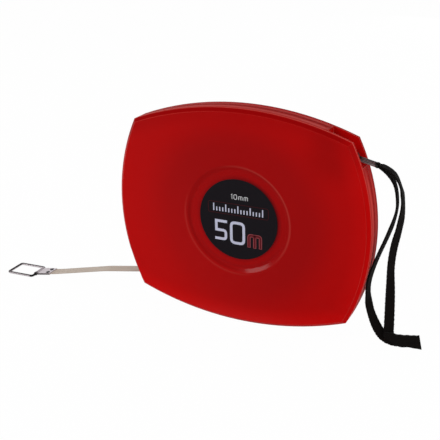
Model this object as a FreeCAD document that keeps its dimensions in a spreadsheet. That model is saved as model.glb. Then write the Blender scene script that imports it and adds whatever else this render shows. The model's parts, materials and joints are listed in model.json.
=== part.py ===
import FreeCAD, Part
import math
import os
import re
import Sketcher

# Closed-case surveyor's tape: a 50 m x 10 mm steel tape on a drum between two moulded covers.
# Frame: +X towards the wrist strap, +Y from the front face to the rear, +Z up.
# Origin: where the drum's axis meets the plane of the flat front face.  Millimetres.

SIZES = [
    # case outline: four arcs that meet at four corners
    ("corner_span_x", 158.0),
    ("corner_span_z", 127.0),
    ("end_rise", 14.7),
    ("side_rise", 14.9),
    ("case_depth", 20.6),
    ("crown_depth", 2.6),
    ("crown_inset", 2.5),
    ("wall", 2.2),
    ("seam_bevel", 0.5),
    # sunken centre of the front cover and its label
    ("recess_radius", 39.4),
    ("recess_depth", 1.8),
    ("recess_slope", 3.6),
    ("recess_blend", 2.6),
    ("label_radius", 29.2),
    ("label_thickness", 0.3),
    # cover screws and their posts
    ("post_radius", 3.6),
    ("screw_radius", 1.4),
    ("screw_head_radius", 2.7),
    ("screw_head_height", 1.6),
    ("screw_reach", 7.0),
    ("screw_clearance", 0.15),
    ("seat_depth", 2.0),
    ("post_left_x", 67.0),
    ("post_left_z", 53.0),
    ("post_right_x", 67.0),
    ("post_right_z", 53.0),
    ("post_strap_x", 56.0),
    ("post_strap_z", 62.0),
    ("post_mouth_x", 60.0),
    ("post_mouth_z", 63.3),
    # axle
    ("boss_radius", 8.0),
    ("boss_height", 1.0),
    ("spigot_radius", 3.0),
    ("spigot_skin", 1.0),
    ("axle_radius", 4.0),
    ("axle_length", 7.4),
    ("axle_clearance", 0.05),
    ("end_play", 0.1),
    ("axle_screw_radius", 1.5),
    ("axle_screw_length", 5.5),
    ("axle_screw_head_radius", 3.2),
    ("axle_screw_head_height", 1.8),
    ("washer_radius", 7.0),
    ("washer_thickness", 0.8),
    # drum
    ("tape_width", 10.0),
    ("tape_thickness", 0.3),
    ("tape_side_play", 0.2),
    ("drum_clearance", 0.3),
    ("coil_radius", 62.0),
    ("hub_radius", 23.6),
    ("hub_wall", 2.2),
    ("hub_web", 2.0),
    ("sleeve_radius", 8.0),
    ("flange_radius", 65.0),
    ("flange_thickness", 0.8),
    ("flange_eye_radius", 13.0),
    ("flange_rivet_radius", 1.2),
    ("flange_rivet_head", 2.2),
    ("flange_rivet_head_height", 0.4),
    ("flange_rivet_circle", 17.0),
    ("hub_post_radius", 2.4),
    ("hub_post_circle", 18.4),
    # crank
    ("lug_margin", 1.7),
    ("crank_rim_width", 1.8),
    ("crank_rim_drop", 0.2),
    ("opening_clearance", 0.3),
    ("collar_width", 2.0),
    ("collar_gap", 0.7),
    ("plate_eye_radius", 4.6),
    ("plate_screw_radius", 1.0),
    ("plate_screw_head", 1.9),
    ("plate_screw_head_height", 1.2),
    ("plate_screw_length", 7.0),
    ("hinge_rise", 0.15),
    ("hinge_radius", 1.8),
    ("hinge_pin_radius", 0.9),
    ("hinge_clearance", 0.05),
    ("lug_thickness", 2.0),
    ("lug_gap", 0.15),
    ("arm_width", 9.0),
    ("arm_thickness", 1.6),
    ("arm_reach", 33.4),
    ("arm_gap", 0.25),
    ("arm_tip", 4.4),
    ("knob_radius", 4.7),
    ("knob_waist", 3.7),
    ("knob_length", 9.0),
    ("knob_clearance", 0.1),
    ("knob_slot_play", 0.7),
    ("knob_set_in", 0.7),
    ("knob_rivet_radius", 1.5),
    ("knob_rivet_head", 2.6),
    ("knob_rivet_head_height", 0.9),
    # tape mouth and the parked ring's seat
    ("mouth_above_corner", 7.6),
    ("mouth_play", 0.5),
    ("mouth_height", 3.4),
    ("seat_above_corner", 26.7),
    ("seat_below_mouth", 2.1),
    ("seat_cut", 1.1),
    ("guide_radius", 1.2),
    ("guide_setback", 6.5),
    ("guide_gap", 0.3),
    ("guide_seat", 1.0),
    # tape outside the case
    ("exit_slope", 10.0),
    ("drop_slope", 13.6),
    ("landing_slope", 9.6),
    ("exit_run", 34.0),
    ("landing_run", 18.7),
    ("tape_bend_radius", 120.0),
    ("blade_reach", 2.0),
    ("guide_bend_radius", 24.0),
    ("clamp_length", 14.1),
    ("clamp_sheet", 0.5),
    ("clamp_width", 11.0),
    ("clamp_tail_width", 10.4),
    ("clamp_rivet_radius", 0.9),
    ("clamp_rivet_head", 1.5),
    ("clamp_rivet_head_height", 0.35),
    ("clamp_rivet_pitch", 5.4),
    ("clamp_rivet_setback", 3.2),
    # end ring
    ("ring_wire_radius", 0.9),
    ("ring_length", 25.3),
    ("ring_width", 19.0),
    ("ring_bend_radius", 1.8),
    ("ring_clearance", 0.05),
    ("ring_set_forward", 1.2),
    # wrist strap's pocket, pin and bail
    ("pocket_depth", 4.5),
    ("block_start_x", 48.0),
    ("block_end_z", 34.0),
    ("pocket_rim", 2.0),
    ("pocket_start_x", 62.0),
    ("pocket_end_z", 47.0),
    ("pin_below_corner", 11.3),
    ("pin_from_corner", 1.0),
    ("strap_pin_radius", 1.1),
    ("strap_pin_seat", 1.2),
    ("bail_wire_radius", 0.9),
    ("bail_reach", 16.0),
    ("bail_width", 4.8),
    ("bail_droop", 13.0),
    ("bail_bend_radius", 1.1),
    ("bail_clearance", 0.06),
    ("well_play", 0.4),
    # wrist strap
    ("strap_width", 6.5),
    ("strap_thickness", 1.2),
    ("strap_neck_width", 2.6),
    ("strap_eye_clearance", 0.15),
    ("stub_length", 22.0),
    ("stub_height", 8.4),
    ("stub_start_x", 105.3),
    ("stub_set_forward", 4.2),
    ("stub_turn", 21.0),
]

FUNCTIONS = ("sqrt", "sin", "cos", "tan", "asin", "acos", "atan", "min", "max", "abs")

# derived lengths, written once from the sizes above
HALF_X = "(corner_span_x / 2)"
HALF_Z = "(corner_span_z / 2)"
HALF_WIDTH = "(corner_span_x / 2 + side_rise)"
HALF_HEIGHT = "(corner_span_z / 2 + end_rise)"
END_RADIUS = "((corner_span_x ^ 2 / 4 + end_rise ^ 2) / (2 * end_rise))"
SIDE_RADIUS = "((corner_span_z ^ 2 / 4 + side_rise ^ 2) / (2 * side_rise))"
SEAM = "(case_depth / 2)"
FLOOR = "(-%s)" % HALF_HEIGHT
REAR_INSIDE = "(case_depth - wall)"
COIL_FRONT = "(case_depth / 2 - tape_width / 2)"
COIL_REAR = "(case_depth / 2 + tape_width / 2)"
HUB_FRONT = "(case_depth / 2 - tape_width / 2 - tape_side_play)"
HUB_REAR = "(case_depth / 2 + tape_width / 2 + tape_side_play)"
FRONT_INSIDE = ("(%s - flange_thickness - flange_rivet_head_height - drum_clearance)"
                % HUB_FRONT)
BOSS_TOP = "(%s + boss_height)" % FRONT_INSIDE
PLATE_FRONT = "(%s + flange_thickness)" % HUB_REAR
PLATE_REAR = "(%s + crank_plate_thickness)" % PLATE_FRONT
AXLE_END = "(%s + axle_length)" % BOSS_TOP
HINGE_Y = "(case_depth + hinge_rise)"
ARM_INNER = "(case_depth + hinge_rise - hinge_radius)"
KNOB_X = "(knob_set_in - (sleeve_radius + hub_radius - hub_wall) / 2)"
KNOB_SWEEP = "sqrt((arm_reach + knob_radius) ^ 2 + (knob_length + hinge_radius) ^ 2)"
MOUTH_Z = "(mouth_above_corner - corner_span_z / 2)"

# sizes that follow from others, each with its named clearance
FOLLOWING = [
    ("spigot_depth", "=%s - recess_depth - spigot_skin" % BOSS_TOP),
    ("collar_drop", "=%s - %s - collar_gap" % (REAR_INSIDE, PLATE_FRONT)),
    ("crank_plate_thickness", "=%s - arm_gap - %s" % (ARM_INNER, PLATE_FRONT)),
    ("hinge_offset", "=arm_reach + %s" % KNOB_X),
    ("crank_plate_radius", "=crank_rim_width + max(hinge_offset + hinge_radius + lug_margin; "
                           "%s + knob_slot_play / 2 - hinge_offset)" % KNOB_SWEEP),
]


def sized(text):
    """The expression with every size's name pointed at the sheet."""
    def name(match):
        word = match.group(0)
        return word if word in FUNCTIONS else "Sizes." + word
    return re.sub(r"[a-z][a-z_]*[a-z]\b(?!\.)", name, text)


def edge_x(z):
    """Half width of the case at height z, on the side arc."""
    return "(%s - %s + sqrt(%s ^ 2 - (%s) ^ 2))" % (HALF_WIDTH, SIDE_RADIUS, SIDE_RADIUS, z)


def edge_z(x):
    """Half height of the case at distance x from the middle, on the end arc."""
    return "(%s - %s + sqrt(%s ^ 2 - (%s) ^ 2))" % (HALF_HEIGHT, END_RADIUS, END_RADIUS, x)


MOUTH_X = "(-%s)" % edge_x(MOUTH_Z)

doc = FreeCAD.newDocument("tape_reel")
sheet = doc.addObject("Spreadsheet::Sheet", "Sizes")
for row, (alias, number) in enumerate(SIZES + FOLLOWING, start=1):
    sheet.set("A%d" % row, alias)
    sheet.set("B%d" % row, str(number))
    sheet.setAlias("B%d" % row, alias)
doc.recompute()

parts = []


def value(text):
    """The number that an expression gives with the sheet's sizes."""
    return float(sheet.evalExpression(str(text)))


def bind(obj, prop, text):
    obj.setExpression(prop, sized(text))


def keep(obj):
    """List an object as one of the nodes that are written."""
    parts.append(obj)
    return obj


def place(obj, x="0", y="0", z="0"):
    for axis, text in zip("xyz", (x, y, z)):
        if text != "0":
            bind(obj, "Placement.Base." + axis, text)


def new_body(label):
    body = doc.addObject("PartDesign::Body", label)
    body.Label = label
    return body


def sketch_on(body, role="XZ_Plane", offset="0"):
    """A sketch on one of the body's origin planes, moved along that plane's own normal axis.

    XZ sketches have local x = X and y = Z, and their offset is the Y they lie at.
    XY sketches have local x = X and y = Y.  YZ sketches have local x = Y and y = Z.
    """
    sketch = body.newObject("Sketcher::SketchObject", body.Label + "_sketch")
    plane = [item for item in body.Origin.OriginFeatures if item.Role == role][0]
    sketch.AttachmentSupport = [(plane, "")]
    sketch.MapMode = "FlatFace"
    if offset != "0":
        along = "-(%s)" % offset if role == "XZ_Plane" else offset
        bind(sketch, "AttachmentOffset.Base.z", along)
    return sketch


def rule(sketch, kind, places, text):
    """Add a dimension to a sketch and bind it to the sheet."""
    index = sketch.addConstraint(Sketcher.Constraint(kind, *places, value(text)))
    bind(sketch, "Constraints[%d]" % index, text)


def pin(sketch, geometry, end, x=None, y=None):
    """Dimension one point of a sketch from the sketch's origin."""
    for axis, kind, text in ((-2, "DistanceX", x), (-1, "DistanceY", y)):
        if text is None:
            continue
        if text == "0":
            sketch.addConstraint(Sketcher.Constraint("PointOnObject", geometry, end, axis))
        elif value(text) > 0:
            rule(sketch, kind, (-1, 1, geometry, end), text)
        else:
            rule(sketch, kind, (geometry, end, -1, 1), "-(%s)" % text)


def draw_circle(sketch, x, y, radius):
    centre = FreeCAD.Vector(value(x), value(y), 0)
    circle = Part.Circle(centre, FreeCAD.Vector(0, 0, 1), value(radius))
    index = sketch.addGeometry(circle)
    pin(sketch, index, 3, x, y)
    rule(sketch, "Radius", (index,), radius)


def draw_polygon(sketch, points):
    """A closed polygon whose corners are pairs of expressions."""
    corners = [FreeCAD.Vector(value(x), value(y), 0) for x, y in points]
    first = sketch.GeometryCount
    for start, end in zip(corners, corners[1:] + corners[:1]):
        sketch.addGeometry(Part.LineSegment(start, end))
    count = len(points)
    for step in range(count):
        following = first + (step + 1) % count
        sketch.addConstraint(Sketcher.Constraint("Coincident", first + step, 2, following, 1))
    for step, (x, y) in enumerate(points):
        pin(sketch, first + step, 1, x, y)


def draw_tongue(sketch, x, y, radius, root):
    """An upright with a round head at (x, y), standing on the level called root."""
    cx, cy, r = value(x), value(y), value(radius)
    centre = FreeCAD.Vector(cx, cy, 0)
    right = FreeCAD.Vector(cx + r, cy, 0)
    left = FreeCAD.Vector(cx - r, cy, 0)
    low_left = FreeCAD.Vector(cx - r, value(root), 0)
    low_right = FreeCAD.Vector(cx + r, value(root), 0)
    circle = Part.Circle(centre, FreeCAD.Vector(0, 0, 1), r)
    sketch.addGeometry(Part.ArcOfCircle(circle, 0, math.pi))
    for start, end in ((left, low_left), (low_left, low_right), (low_right, right)):
        sketch.addGeometry(Part.LineSegment(start, end))
    for pair in ((0, 2, 1, 1), (1, 2, 2, 1), (2, 2, 3, 1), (3, 2, 0, 1)):
        sketch.addConstraint(Sketcher.Constraint("Coincident", *pair))
    pin(sketch, 0, 3, x, y)
    pin(sketch, 0, 2, "%s - %s" % (x, radius), y)
    pin(sketch, 0, 1, None, y)
    pin(sketch, 1, 2, "%s - %s" % (x, radius), root)
    pin(sketch, 2, 2, "%s + %s" % (x, radius), root)


def draw_outline(sketch, inset, cut_corner=False):
    """The case's four arcs, all moved in by inset.

    With cut_corner the corner over the strap's pocket is replaced by a straight run.
    """
    end_radius = "(%s - (%s))" % (END_RADIUS, inset)
    side_radius = "(%s - (%s))" % (SIDE_RADIUS, inset)
    end_centre = "(%s - %s)" % (END_RADIUS, HALF_HEIGHT)
    side_centre = "(%s - %s)" % (SIDE_RADIUS, HALF_WIDTH)
    corner = math.atan2(value(HALF_Z) + value(end_centre), value(HALF_X))
    side = math.atan2(value(HALF_Z), value(HALF_X) + value(side_centre))
    spans = [
        ("0", "-" + end_centre, end_radius, corner, math.pi - corner),
        (side_centre, "0", side_radius, math.pi - side, math.pi + side),
        ("0", end_centre, end_radius, math.pi + corner, 2 * math.pi - corner),
        ("-" + side_centre, "0", side_radius, -side, side),
    ]
    for x, y, radius, start, end in spans:
        centre = FreeCAD.Vector(value(x), value(y), 0)
        circle = Part.Circle(centre, FreeCAD.Vector(0, 0, 1), value(radius))
        sketch.addGeometry(Part.ArcOfCircle(circle, start, end))
    for index, (x, y, radius, _, _) in enumerate(spans):
        pin(sketch, index, 3, x, y)
        rule(sketch, "Radius", (index,), radius)
    joins = [(0, 2, 1, 1), (1, 2, 2, 1), (2, 2, 3, 1)]
    if cut_corner:
        top = (value("block_start_x"), value(HALF_Z), 0)
        low = (value(HALF_X), value("block_end_z"), 0)
        sketch.addGeometry(Part.LineSegment(FreeCAD.Vector(*low), FreeCAD.Vector(*top)))
        joins += [(3, 2, 4, 1), (4, 2, 0, 1)]
    else:
        joins += [(3, 2, 0, 1)]
    for join in joins:
        sketch.addConstraint(Sketcher.Constraint("Coincident", *join))
    if cut_corner:
        pin(sketch, 0, 1, "block_start_x", None)
        pin(sketch, 3, 2, None, "block_end_z")


def add_pad(body, sketch, length, back=False):
    """Pad a sketch.  On an XZ sketch, back pads towards the rear (+Y)."""
    pad = body.newObject("PartDesign::Pad", body.Label + "_pad")
    pad.Profile = sketch
    bind(pad, "Length", length)
    pad.Reversed = back
    doc.recompute()
    return pad


def add_centred_pad(body, sketch, length):
    """Pad a sketch half to each side of its plane."""
    pad = body.newObject("PartDesign::Pad", body.Label + "_pad")
    pad.Profile = sketch
    bind(pad, "Length", length)
    pad.Midplane = True
    doc.recompute()
    return pad


def cut_checked(body, feature, before):
    """Turn a cut round if it took nothing away."""
    doc.recompute()
    if abs(body.Shape.Volume - before) < 1e-6:
        feature.Reversed = not feature.Reversed
        doc.recompute()
    if body.Shape.Volume >= before:
        raise RuntimeError("%s cuts nothing" % feature.Name)
    return feature


def add_pocket(body, sketch, length, back=True):
    """Cut a sketch into the body.  On an XZ sketch, back cuts towards the rear (+Y)."""
    before = body.Shape.Volume
    pocket = body.newObject("PartDesign::Pocket", body.Label + "_pocket")
    pocket.Profile = sketch
    bind(pocket, "Length", length)
    pocket.Reversed = not back
    return cut_checked(body, pocket, before)


def add_through(body, sketch):
    """Cut a sketch through the whole body, both ways."""
    before = body.Shape.Volume
    pocket = body.newObject("PartDesign::Pocket", body.Label + "_through")
    pocket.Profile = sketch
    pocket.Type = "ThroughAll"
    pocket.Midplane = True
    return cut_checked(body, pocket, before)


def edges_where(shape, test):
    return ["Edge%d" % (i + 1) for i, edge in enumerate(shape.Edges) if test(edge)]


def lies_at(edge, y):
    box = edge.BoundBox
    return abs(box.YMin - y) < 1e-4 and abs(box.YMax - y) < 1e-4


def add_chamfer(body, edges, size, second=None):
    base = body.Tip
    chamfer = body.newObject("PartDesign::Chamfer", body.Label + "_chamfer")
    chamfer.Base = (base, edges)
    bind(chamfer, "Size", size)
    if second:
        chamfer.ChamferType = "Two distances"
        bind(chamfer, "Size2", second)
    doc.recompute()
    return chamfer


def add_fillet(body, edges, radius):
    base = body.Tip
    fillet = body.newObject("PartDesign::Fillet", body.Label + "_fillet")
    fillet.Base = (base, edges)
    bind(fillet, "Radius", radius)
    doc.recompute()
    return fillet


def turned(label, profile, x="0", y="0", z="0"):
    """A body turned about its own Y axis from a half profile of (radius, y) pairs."""
    body = new_body(label)
    sketch = sketch_on(body, "XY_Plane")
    draw_polygon(sketch, profile)
    turn = body.newObject("PartDesign::Revolution", label + "_turn")
    turn.Profile = sketch
    turn.ReferenceAxis = (sketch, ["V_Axis"])
    turn.Angle = 360
    doc.recompute()
    place(body, x, y, z)
    return body


def ring_profile(inner, outer, front, rear):
    return [(inner, front), (outer, front), (outer, rear), (inner, rear)]


def stepped_profile(radius, tip, seat, head_radius, head_end):
    """A plain fastener: shank from tip to seat, head from seat to head_end."""
    return [("0", tip), (radius, tip), (radius, seat), (head_radius, seat), (head_radius, head_end),
            ("0", head_end)]


def group(label, members):
    """Equal pieces as one node of separate solids."""
    compound = doc.addObject("Part::Compound", label)
    compound.Label = label
    compound.Links = members
    return keep(compound)


# ---------------------------------------------------------------- covers

POSTS = [
    ("-post_left_x", "post_left_z"),
    ("post_right_x", "-post_right_z"),
    ("post_strap_x", "post_strap_z"),
    ("-post_mouth_x", "-post_mouth_z"),
]
STRAP_PIN_X = "(corner_span_x / 2 - pin_from_corner)"
STRAP_PIN_Z = "(corner_span_z / 2 - pin_below_corner)"
TAPE_HALF = "(tape_width / 2 + mouth_play)"


def tape_line_z(x):
    """Height of the tape's straight exit run, carried on to any x."""
    return "(%s + (%s - %s) * tan(exit_slope))" % (MOUTH_Z, x, MOUTH_X)


GUIDE_X = "(%s + guide_setback)" % MOUTH_X
GUIDE_DROP = "((tape_thickness / 2 + guide_gap + guide_radius) / cos(exit_slope))"
LOWER_GUIDE_Z = "(%s - %s)" % (tape_line_z(GUIDE_X), GUIDE_DROP)
UPPER_GUIDE_Z = "(%s + %s)" % (tape_line_z(GUIDE_X), GUIDE_DROP)


class Cover:
    """What differs between the two half shells: where each starts and which way is inwards."""

    def __init__(self, label, outer, inward_is_back):
        self.body = new_body(label)
        self.outer = outer
        self.back = inward_is_back

    def depth(self, distance):
        """The Y that lies distance inside this cover's outer face."""
        sign = "+" if self.back else "-"
        return "(%s %s (%s))" % (self.outer, sign, distance)

    def pad_in(self, sketch, length):
        return add_pad(self.body, sketch, length, back=self.back)

    def cut_in(self, sketch, length):
        return add_pocket(self.body, sketch, length, back=self.back)

    def sketch_at(self, distance):
        return sketch_on(self.body, "XZ_Plane", self.depth(distance))


def crown_and_seam(cover):
    """Solid half of the case with its crowned outer edge and the bevel along the seam."""
    sketch = cover.sketch_at("0")
    draw_outline(sketch, "0")
    cover.pad_in(sketch, SEAM)
    face = value(cover.depth("0"))
    edges = edges_where(cover.body.Shape, lambda edge: lies_at(edge, face))
    crown = add_chamfer(cover.body, edges, "crown_inset", "crown_depth")
    flats = [f for f in cover.body.Shape.Faces if abs(f.BoundBox.YLength) < 1e-6]
    outer = [f for f in flats if abs(f.BoundBox.YMin - face) < 1e-6][0]
    if abs(outer.BoundBox.ZMax - value(HALF_HEIGHT + " - crown_inset")) > 0.02:
        crown.FlipDirection = True
        doc.recompute()
    seam = value(SEAM)
    edges = edges_where(cover.body.Shape, lambda edge: lies_at(edge, seam))
    add_chamfer(cover.body, edges, "seam_bevel")


def hollow(cover):
    """Interior of a half shell, closed off by a straight wall behind the strap's pocket."""
    sketch = cover.sketch_at("wall")
    draw_outline(sketch, "wall", cut_corner=True)
    cover.cut_in(sketch, "%s - wall" % SEAM)


def screw_posts(cover):
    sketch = cover.sketch_at("wall")
    for x, z in POSTS:
        draw_circle(sketch, x, z, "post_radius")
    cover.pad_in(sketch, "%s - wall" % SEAM)


def tape_mouth(cover):
    """Half of the slot that the tape runs out through, and the flat seat of the parked ring."""
    cut = sketch_on(cover.body, "XZ_Plane", SEAM)
    outside = "(%s - wall)" % MOUTH_X
    inside = "(%s + wall + guide_radius)" % MOUTH_X
    half = "mouth_height / 2"
    draw_polygon(cut, [
        (outside, "%s - %s" % (tape_line_z(outside), half)),
        (inside, "%s - %s" % (tape_line_z(inside), half)),
        (inside, "%s + %s" % (tape_line_z(inside), half)),
        (outside, "%s + %s" % (tape_line_z(outside), half)),
    ])
    add_pocket(cover.body, cut, TAPE_HALF, back=not cover.back)
    seat = cover.sketch_at("0")
    top = "(seat_above_corner - corner_span_z / 2)"
    bottom = "(%s - seat_below_mouth)" % MOUTH_Z
    beyond = "-(%s + wall)" % HALF_WIDTH
    draw_polygon(seat, [
        (beyond, bottom),
        ("seat_cut - %s" % edge_x(bottom), bottom),
        ("seat_cut - %s" % edge_x(top), top),
        (beyond, top),
    ])
    cover.cut_in(seat, SEAM)


def guide_seats(cover):
    """Sockets in the cover's wall for the two guide pins beside the mouth."""
    sketch = cover.sketch_at("wall - guide_seat")
    draw_circle(sketch, GUIDE_X, LOWER_GUIDE_Z, "guide_radius")
    draw_circle(sketch, GUIDE_X, UPPER_GUIDE_Z, "guide_radius")
    cover.cut_in(sketch, "guide_seat")


def strap_pocket(cover):
    """Open corner between the two rims, with a well for the bail's pin."""
    sketch = sketch_on(cover.body, "XZ_Plane", SEAM)
    start, end = "pocket_start_x", "pocket_end_z"
    draw_polygon(sketch, [
        (start, "%s - pocket_depth" % edge_z(start)),
        ("%s - pocket_depth" % HALF_X, "%s - pocket_depth" % HALF_Z),
        ("%s - pocket_depth" % edge_x(end), end),
        ("%s + side_rise" % HALF_X, end),
        ("%s + side_rise" % HALF_X, HALF_HEIGHT),
        (start, HALF_HEIGHT),
    ])
    depth = "%s - crown_depth - pocket_rim" % SEAM
    add_pocket(cover.body, sketch, depth, back=not cover.back)
    well = sketch_on(cover.body, "XZ_Plane", SEAM)
    reach = "(bail_wire_radius * 2 + strap_pin_radius + bail_clearance + well_play)"
    draw_polygon(well, [
        ("%s - %s" % (STRAP_PIN_X, reach), "%s - %s" % (STRAP_PIN_Z, reach)),
        (HALF_WIDTH, "%s - %s" % (STRAP_PIN_Z, reach)),
        (HALF_WIDTH, "%s + %s" % (STRAP_PIN_Z, reach)),
        ("%s - %s" % (STRAP_PIN_X, reach), "%s + %s" % (STRAP_PIN_Z, reach)),
    ])
    add_pocket(cover.body, well, depth, back=not cover.back)
    hole = sketch_on(cover.body, "XZ_Plane", SEAM)
    draw_circle(hole, STRAP_PIN_X, STRAP_PIN_Z, "strap_pin_radius")
    add_pocket(cover.body, hole, "%s + strap_pin_seat" % depth, back=not cover.back)


def half_shell(label, outer, inward_is_back):
    cover = Cover(label, outer, inward_is_back)
    crown_and_seam(cover)
    hollow(cover)
    screw_posts(cover)
    tape_mouth(cover)
    guide_seats(cover)
    strap_pocket(cover)
    return cover


def front_cover():
    """Front shell with the sunken centre, the axle's boss and blind screw posts."""
    cover = half_shell("front_cover", "0", True)
    dish = cover.sketch_at("wall")
    draw_circle(dish, "0", "0", "recess_radius + wall")
    cover.pad_in(dish, "%s - wall" % FRONT_INSIDE)
    floor_radius = "recess_radius - recess_slope"
    recess = sketch_on(cover.body, "XY_Plane")
    draw_polygon(recess, [("0", "0"), ("recess_radius", "0"), (floor_radius, "recess_depth"),
                          ("0", "recess_depth")])
    groove = cover.body.newObject("PartDesign::Groove", "front_cover_recess")
    groove.Profile = recess
    groove.ReferenceAxis = (recess, ["V_Axis"])
    groove.Angle = 360
    doc.recompute()
    rims = [(0, value("recess_radius")), (value("recess_depth"), value(floor_radius))]

    def rims_recess(edge):
        return any(lies_at(edge, y) and abs(edge.BoundBox.XMax - radius) < 1e-3
                   for y, radius in rims)

    add_fillet(cover.body, edges_where(cover.body.Shape, rims_recess), "recess_blend")
    boss = cover.sketch_at(FRONT_INSIDE)
    draw_circle(boss, "0", "0", "boss_radius")
    cover.pad_in(boss, "boss_height")
    socket = cover.sketch_at("%s - spigot_depth" % BOSS_TOP)
    draw_circle(socket, "0", "0", "spigot_radius")
    cover.cut_in(socket, "spigot_depth")
    threads = sketch_on(cover.body, "XZ_Plane", SEAM)
    for x, z in POSTS:
        draw_circle(threads, x, z, "screw_radius")
    add_pocket(cover.body, threads, "screw_reach", back=False)
    keep(cover.body)


def rear_cover():
    """Rear shell with the crank's round opening, its collar and the countersunk screw seats."""
    cover = half_shell("rear_cover", "case_depth", False)
    collar = cover.sketch_at("wall")
    opening = "crank_plate_radius + opening_clearance"
    draw_circle(collar, "0", "0", "%s + collar_width" % opening)
    cover.pad_in(collar, "collar_drop")
    hole = cover.sketch_at("0")
    draw_circle(hole, "0", "0", opening)
    cover.cut_in(hole, "wall + collar_drop")
    holes = cover.sketch_at("0")
    for x, z in POSTS:
        draw_circle(holes, x, z, "screw_radius + screw_clearance")
    cover.cut_in(holes, SEAM)
    seats = cover.sketch_at("0")
    for x, z in POSTS:
        draw_circle(seats, x, z, "screw_head_radius + screw_clearance")
    cover.cut_in(seats, "seat_depth")
    keep(cover.body)


def label_disc():
    floor = "recess_depth"
    keep(turned("label_disc", [
        ("0", "%s - label_thickness" % floor), ("label_radius", "%s - label_thickness" % floor),
        ("label_radius", floor), ("0", floor),
    ]))


def case_screws():
    seat = "case_depth - seat_depth"
    tip = "%s - screw_reach" % SEAM
    profile = stepped_profile("screw_radius", tip, seat, "screw_head_radius",
                              "%s + screw_head_height" % seat)
    members = [turned("case_screw_%d" % (i + 1), profile, x, "0", z)
               for i, (x, z) in enumerate(POSTS)]
    group("case_screws", members)


def guide_pins():
    front, rear = "wall - guide_seat", "case_depth - wall + guide_seat"
    profile = [("0", front), ("guide_radius", front), ("guide_radius", rear), ("0", rear)]
    keep(turned("lower_guide_pin", profile, GUIDE_X, "0", LOWER_GUIDE_Z))
    keep(turned("upper_guide_pin", profile, GUIDE_X, "0", UPPER_GUIDE_Z))


# ---------------------------------------------------------------- axle and drum

def axle():
    foot = "%s - spigot_depth" % BOSS_TOP
    pilot = "%s - axle_screw_length" % AXLE_END
    keep(turned("axle_pin", [
        ("0", foot), ("spigot_radius", foot), ("spigot_radius", BOSS_TOP),
        ("axle_radius", BOSS_TOP), ("axle_radius", AXLE_END), ("axle_screw_radius", AXLE_END),
        ("axle_screw_radius", pilot), ("0", pilot),
    ]))
    top = "%s + washer_thickness" % AXLE_END
    keep(turned("axle_washer", ring_profile("axle_screw_radius", "washer_radius", AXLE_END, top)))
    keep(turned("axle_screw", stepped_profile("axle_screw_radius", pilot, top,
                                              "axle_screw_head_radius",
                                              "%s + axle_screw_head_height" % top)))


HUB_POST_ANGLES = (45, 135, 225, 315)
RIVET_ANGLES = (0, 90, 180, 270)


def around(angle, radius):
    """A point on a circle about the drum's axis, as expressions."""
    x = "0" if angle % 180 == 90 else "(%s) * cos(%d)" % (radius, angle)
    z = "0" if angle % 180 == 0 else "(%s) * sin(%d)" % (radius, angle)
    return (x, z)


def drum_hub():
    """Moulded hub: sleeve on the axle, web, coil ring and three posts for the crank plate."""
    body = turned("drum_hub", [
        ("axle_radius + axle_clearance", "%s + end_play" % BOSS_TOP),
        ("sleeve_radius", "%s + end_play" % BOSS_TOP),
        ("sleeve_radius", HUB_FRONT),
        ("hub_radius", HUB_FRONT),
        ("hub_radius", HUB_REAR),
        ("hub_radius - hub_wall", HUB_REAR),
        ("hub_radius - hub_wall", "%s + hub_web" % HUB_FRONT),
        ("sleeve_radius", "%s + hub_web" % HUB_FRONT),
        ("sleeve_radius", "%s - end_play" % AXLE_END),
        ("axle_radius + axle_clearance", "%s - end_play" % AXLE_END),
    ])
    posts = sketch_on(body, "XZ_Plane", "%s + hub_web / 2" % HUB_FRONT)
    for angle in HUB_POST_ANGLES:
        x, z = around(angle, "hub_post_circle")
        draw_circle(posts, x, z, "hub_post_radius")
    add_pad(body, posts, "%s - %s - hub_web / 2" % (PLATE_FRONT, HUB_FRONT), back=True)
    rivets = sketch_on(body, "XZ_Plane", HUB_FRONT)
    for angle in RIVET_ANGLES:
        x, z = around(angle, "flange_rivet_circle")
        draw_circle(rivets, x, z, "flange_rivet_radius")
    add_pocket(body, rivets, "hub_web", back=True)
    pilots = sketch_on(body, "XZ_Plane", PLATE_FRONT)
    for angle in HUB_POST_ANGLES:
        x, z = around(angle, "hub_post_circle")
        draw_circle(pilots, x, z, "plate_screw_radius")
    add_pocket(body, pilots, "plate_screw_length - crank_plate_thickness + plate_screw_head_height",
               back=False)
    keep(body)


def flanges():
    front = "%s - flange_thickness" % HUB_FRONT
    body = turned("front_flange", ring_profile("flange_eye_radius", "flange_radius", front, HUB_FRONT))
    holes = sketch_on(body, "XZ_Plane", front)
    for angle in RIVET_ANGLES:
        x, z = around(angle, "flange_rivet_circle")
        draw_circle(holes, x, z, "flange_rivet_radius")
    add_pocket(body, holes, "flange_thickness", back=True)
    keep(body)
    keep(turned("rear_flange", ring_profile("hub_radius - hub_wall", "flange_radius", HUB_REAR,
                                            PLATE_FRONT)))


def flange_rivets():
    seat = "%s - flange_thickness" % HUB_FRONT
    profile = [
        ("0", "%s - flange_rivet_head_height" % seat),
        ("flange_rivet_head", "%s - flange_rivet_head_height" % seat),
        ("flange_rivet_head", seat),
        ("flange_rivet_radius", seat),
        ("flange_rivet_radius", "%s + hub_web" % HUB_FRONT),
        ("0", "%s + hub_web" % HUB_FRONT),
    ]
    members = []
    for i, angle in enumerate(RIVET_ANGLES):
        x, z = around(angle, "flange_rivet_circle")
        members.append(turned("flange_rivet_%d" % (i + 1), profile, x, "0", z))
    group("flange_rivets", members)


def tape_coil():
    keep(turned("tape_coil", ring_profile("hub_radius", "coil_radius", COIL_FRONT, COIL_REAR)))


# ---------------------------------------------------------------- crank

PLATE_SEAT = "(%s - plate_screw_head_height)" % PLATE_REAR
LUG_INNER = "(arm_width / 2 + lug_gap)"


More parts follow.
